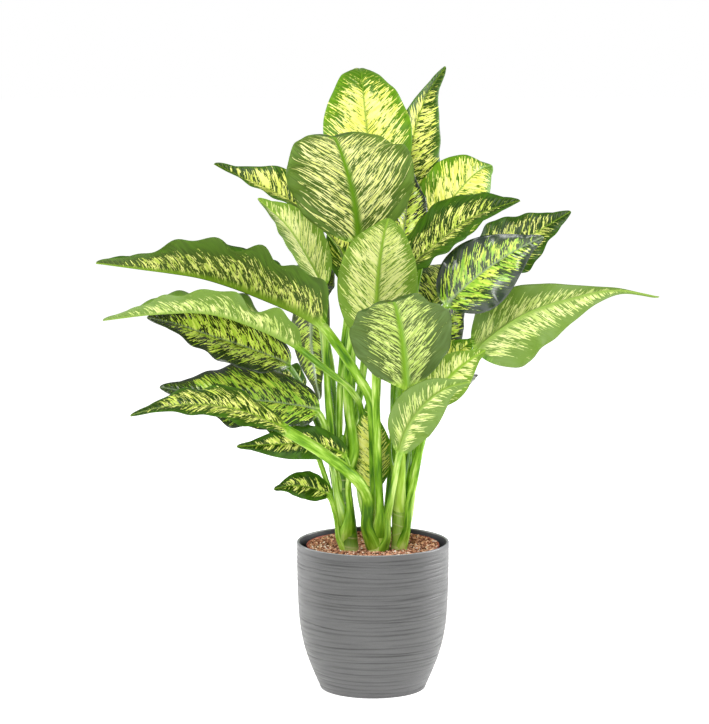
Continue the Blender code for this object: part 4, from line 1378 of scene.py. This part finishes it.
@dataclass(frozen=True)
class BarkMix:
    """The mix: a lumpy bed that fills the grower's pot, and loose chips heaped on it."""

    columns: int = 120
    rows: int = 44
    chips: int = 2800
    heap: float = 8.2 * MM
    under_chips: float = 1.2 * MM
    half_length: tuple = (1.1 * MM, 2.7 * MM)
    seed: int = 7

    def build(self, frame: dict) -> None:
        """Makes the bed from the CAD node's own radii, then the chips.

        Args:
            frame: the loaded frame.
        """
        node = frame["nodes"]["potting_mix"]
        corners = corners_of(node)
        radius = np.hypot(corners[:, 0], corners[:, 1])
        top, bottom = corners[:, 2].max(), corners[:, 2].min()
        rim = radius.max()
        foot = radius[corners[:, 2] < bottom + MM].max()
        rng = np.random.default_rng(self.seed)
        material = BarkFinish().make()
        side, base = 10, 6
        radii = np.concatenate([np.linspace(2 * MM, rim, self.rows), np.linspace(rim, foot, side)[1:],
                                np.linspace(foot, 3 * MM, base)[1:]])
        heights = np.concatenate([np.full(self.rows, top), np.linspace(top + self.heap, bottom, side)[1:],
                                  np.full(base - 1, bottom)])
        lumps = rng.normal(0.0, 0.45 * MM, (self.rows, self.columns))
        heights = np.repeat(heights[:, None], self.columns, axis=1)
        heights[:self.rows] += lumps - self.under_chips + self._heaped(radii[:self.rows], rim)[:, None]
        bed = turned("bark_bed", radii, heights, self.columns,
                     {"chip": rng.uniform(0.0, 0.45, heights.shape)})
        show(bed, material, "bark_mix", "potting_mix")
        show(self._loose(top, rim, rng), material, "bark_mix")

    def _heaped(self, away: np.ndarray, rim: float) -> np.ndarray:
        """Raises the bed towards the grower's pot, which it all but hides."""
        return self.heap * smoothstep(away, rim - 24 * MM, rim)

    def _loose(self, top: float, rim: float, rng: np.random.Generator) -> bpy.types.Object:
        """Makes the chips: icosahedra with moved corners, of three half lengths, tipped and turned.

        Corner = place + R (s * (c + jitter)), with c a corner of the unit icosahedron.

        Args:
            top: the bed's height in the middle.
            rim: the bed's radius.
            rng: gives every chip its shape and place.

        Returns:
            All the chips as one object.
        """
        corners, faces = self._icosahedron()
        n = self.chips
        shape = corners[None] + rng.normal(0.0, 0.17, (n, 12, 3))
        half = rng.uniform(*self.half_length, (n, 1)) * np.stack(
            [np.ones(n), rng.uniform(0.55, 0.95, n), rng.uniform(0.35, 0.7, n)], axis=1)
        shape = shape * half[:, None]
        tip, turn = rng.normal(0.0, 0.45, n), rng.uniform(0.0, TURN, n)
        y = shape[..., 1] * np.cos(tip)[:, None] - shape[..., 2] * np.sin(tip)[:, None]
        z = shape[..., 1] * np.sin(tip)[:, None] + shape[..., 2] * np.cos(tip)[:, None]
        x = shape[..., 0] * np.cos(turn)[:, None] - y * np.sin(turn)[:, None]
        y = shape[..., 0] * np.sin(turn)[:, None] + y * np.cos(turn)[:, None]
        around = rng.uniform(0.0, TURN, n)
        away = (rim + 1.8 * MM) * np.sqrt(rng.uniform(0.0, 1.0, n))
        lift = top + rng.uniform(-0.9 * MM, 1.1 * MM, n) + self._heaped(away, rim)
        place = np.stack([away * np.cos(around), away * np.sin(around), lift], axis=1)
        vertices = (np.stack([x, y, z], axis=-1) + place[:, None]).reshape(-1, 3)
        triangles = (faces[None] + 12 * np.arange(n)[:, None, None]).reshape(-1, 3)
        mesh = polygon_mesh("bark_chips", vertices, np.zeros((0, 4), int), triangles)
        set_points(mesh, "chip", np.repeat(np.clip(rng.normal(0.52, 0.22, n), 0.0, 1.0), 12))
        return placed(mesh)

    @staticmethod
    def _icosahedron() -> tuple:
        """Makes a unit icosahedron: its corners are (+-1, +-golden ratio, 0) and the turns of that.

        Returns:
            Its 12 corners, and its 20 faces of three corners that lie one edge apart, facing out.
        """
        golden = (1 + 5 ** 0.5) / 2
        corners = np.array([(a, b * golden, 0.0) for a in (-1, 1) for b in (-1, 1)])
        corners = unit(np.concatenate([corners, np.roll(corners, 1, axis=1), np.roll(corners, 2, axis=1)]))
        gaps = np.linalg.norm(corners[:, None] - corners[None], axis=-1)
        near = (gaps > 0) & (gaps < 1.1)
        faces = np.array([(i, j, k) for i in range(12) for j in range(i + 1, 12) for k in range(j + 1, 12)
                          if near[i, j] and near[j, k] and near[i, k]])
        first, second, third = (corners[faces[:, k]] for k in range(3))
        outward = np.einsum("ij,ij->i", np.cross(second - first, third - first), first)
        return corners, np.where((outward < 0)[:, None], faces[:, [0, 2, 1]], faces)


@dataclass(frozen=True)
class CaneStem:
    """A cane's skin: swollen between its nodes, ringed by leaf scars, wide at the foot, narrow on top."""

    name: str
    finish: CaneFinish
    seed: int
    columns: int = 48
    rows: int = 180
    gap: tuple = (15 * MM, 24 * MM)
    soil: float = 0.2205

    def build(self, frame: dict) -> Cane:
        """Makes the stem round its CAD node's axis and shows it instead.

        Round the axis the radius is r (1 + 0.025 cos 2t), swollen at the soil and just above each
        leaf scar, and narrower over the last third.

        Args:
            frame: the loaded frame.

        Returns:
            The cane's axis and girth.
        """
        parts = Sections.read(frame["nodes"][self.name], 16)
        cane = Cane.of(parts)
        rng = np.random.default_rng(self.seed)
        line = np.vstack([cane.axis, parts.tip])
        reach = lengths_along(line)
        s = reach[-1] * (1 - (1 - np.linspace(0.0, 1.0, self.rows + 1)[:-1]) ** 1.3)
        middle = hermite(reach, line, s)
        ahead = unit(np.gradient(middle, axis=0))
        right = unit(np.cross(ahead, (0.0, 1.0, 0.0)))
        front = np.cross(right, ahead)
        radius = hermite(reach[:-1], cane.radius, np.minimum(s, reach[-2]))[:, 0]
        left = 1 - s / reach[-1]
        radius = radius * (0.55 + 0.45 * smoothstep(left, 0.0, 0.30))
        radius = radius * np.minimum(1.0, (left / 0.02) ** 0.5 + 0.05)
        soil = np.interp(self.soil, middle[:, 2], s)
        t = TURN * np.arange(self.columns) / self.columns
        swell = 1 + 0.10 * np.exp(-(((s - soil) / (9 * MM)) ** 2)) * (s > 0)
        skin = radius[:, None] * swell[:, None] * (1 + 0.025 * np.cos(2 * t + rng.uniform(0, TURN))[None, :])
        scar = np.zeros_like(skin)
        at = soil + rng.uniform(4 * MM, 9 * MM)
        while at < reach[-1] * 0.93:
            tilt = rng.uniform(1.5 * MM, 4 * MM) * np.cos(t - rng.uniform(0, TURN))
            from_ring = s[:, None] - at - tilt
            ring = np.exp(-((from_ring / (0.8 * MM)) ** 2))
            skin += 0.35 * MM * ring + 0.25 * MM * np.exp(-(((from_ring - 4 * MM) / (4 * MM)) ** 2))
            scar = np.maximum(scar, 0.55 * ring)
            at += rng.uniform(*self.gap)
        grid = (middle[:, None] + right[:, None] * (skin * np.cos(t))[..., None]
                + front[:, None] * (skin * np.sin(t))[..., None])
        dry = np.exp(-np.maximum(s - soil, 0.0) / (6 * MM))
        foot = np.broadcast_to(dry[:, None], skin.shape) * 0.85
        made = grid_mesh(f"grown_{self.name}", grid, (line[0], parts.tip), {}, {"scar": scar, "foot": foot})
        show(made, self.finish.make(), "green_stem", self.name)
        return cane


CANES = (
    CaneStem("cane_left", CaneFinish("cane_dark_green", "#5f8a12", "#3f6a02"), 11),
    CaneStem("cane_centre", CaneFinish("cane_bright_green", "#b4d058", "#86a92e"), 12),
    CaneStem("cane_right", CaneFinish("cane_green", "#9cbf48", "#74992a"), 13),
)


# ---------------------------------------------------------------------------------------------
# Stage


@dataclass(frozen=True)
class SoftBox:
    """A soft area light: where it stands, its power and size, and the point it faces."""

    name: str
    place: tuple
    watts: float
    size: float
    aim: tuple = (0.0, 0.0, 0.45)

    def build(self) -> None:
        """Adds the light to the scene."""
        light = bpy.data.lights.new(self.name, "AREA")
        light.energy, light.size = self.watts, self.size
        made = bpy.data.objects.new(self.name, light)
        made.location = self.place
        made.rotation_euler = (Vector(self.aim) - Vector(self.place)).to_track_quat("-Z", "Y").to_euler()
        bpy.context.scene.collection.objects.link(made)


@dataclass(frozen=True)
class Stage:
    """White floor that runs into a white studio, soft boxes at the sides and above, and the camera."""

    camera_place: tuple = (-0.029, -5.0, 1.24)
    pitch: float = 8.2
    lens: float = 160.6
    ambient: float = 0.33
    floor_glow: float = 0.71
    lights: tuple = (
        SoftBox("top", (-0.5, -1.6, 3.4), 74.0, 1.5),
        SoftBox("right", (2.8, 0.9, 1.1), 96.0, 1.6),
        SoftBox("left", (-2.8, 1.0, 1.2), 54.0, 1.6),
        SoftBox("front", (-0.7, -4.4, 2.0), 62.0, 1.2),
    )

    def build(self) -> None:
        """Makes the floor, the world, the lights and the camera."""
        self._floor()
        self._world()
        for light in self.lights:
            light.build()
        camera = bpy.data.cameras.new("camera")
        camera.lens = self.lens
        made = bpy.data.objects.new("camera", camera)
        made.location = self.camera_place
        made.rotation_euler = (np.radians(90.0 - self.pitch), 0.0, 0.0)
        bpy.context.scene.collection.objects.link(made)
        bpy.context.scene.camera = made

    def _floor(self) -> None:
        """Lays a matt white floor that glows as much as it takes to look as white as the background."""
        bpy.ops.mesh.primitive_plane_add(size=30.0, location=(0.0, 0.0, 0.0))
        floor = bpy.context.object
        floor.name = "floor"
        material, tree = new_material("white_floor")
        surface = add(tree, "ShaderNodeBsdfPrincipled",
                      {"Base Color": (0.9, 0.9, 0.9, 1.0), "Roughness": 0.9, "Emission Color": "#ffffff",
                       "Emission Strength": self.floor_glow, "Specular IOR Level": 0.0})
        add(tree, "ShaderNodeOutputMaterial", {"Surface": surface})
        floor.data.materials.append(material)

    def _world(self) -> None:
        """Surrounds the scene with white, which lights it less than it shows."""
        world = bpy.data.worlds.new("studio")
        world.use_nodes = True
        tree = world.node_tree
        tree.nodes.clear()
        seen = add(tree, "ShaderNodeLightPath", {})
        strength = add(tree, "ShaderNodeMapRange", {0: seen, 3: self.ambient, 4: 1.0})
        shade = add(tree, "ShaderNodeBackground", {"Color": "#ffffff", "Strength": strength})
        add(tree, "ShaderNodeOutputWorld", {"Surface": shade})
        bpy.context.scene.world = world


def main() -> None:
    """Builds the looks in order."""
    logging.basicConfig(level=logging.INFO, format="%(message)s")
    for old in list(bpy.data.objects):
        bpy.data.objects.remove(old, do_unlink=True)
    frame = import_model()
    bpy.context.scene.view_settings.view_transform = "Standard"
    CombedPot().build(frame)
    NurseryPot().build(frame)
    BarkMix().build(frame)
    canes = [stem.build(frame) for stem in CANES]
    build_leaves(frame, canes)
    Stage().build()


if __name__ == "__main__":
    main()
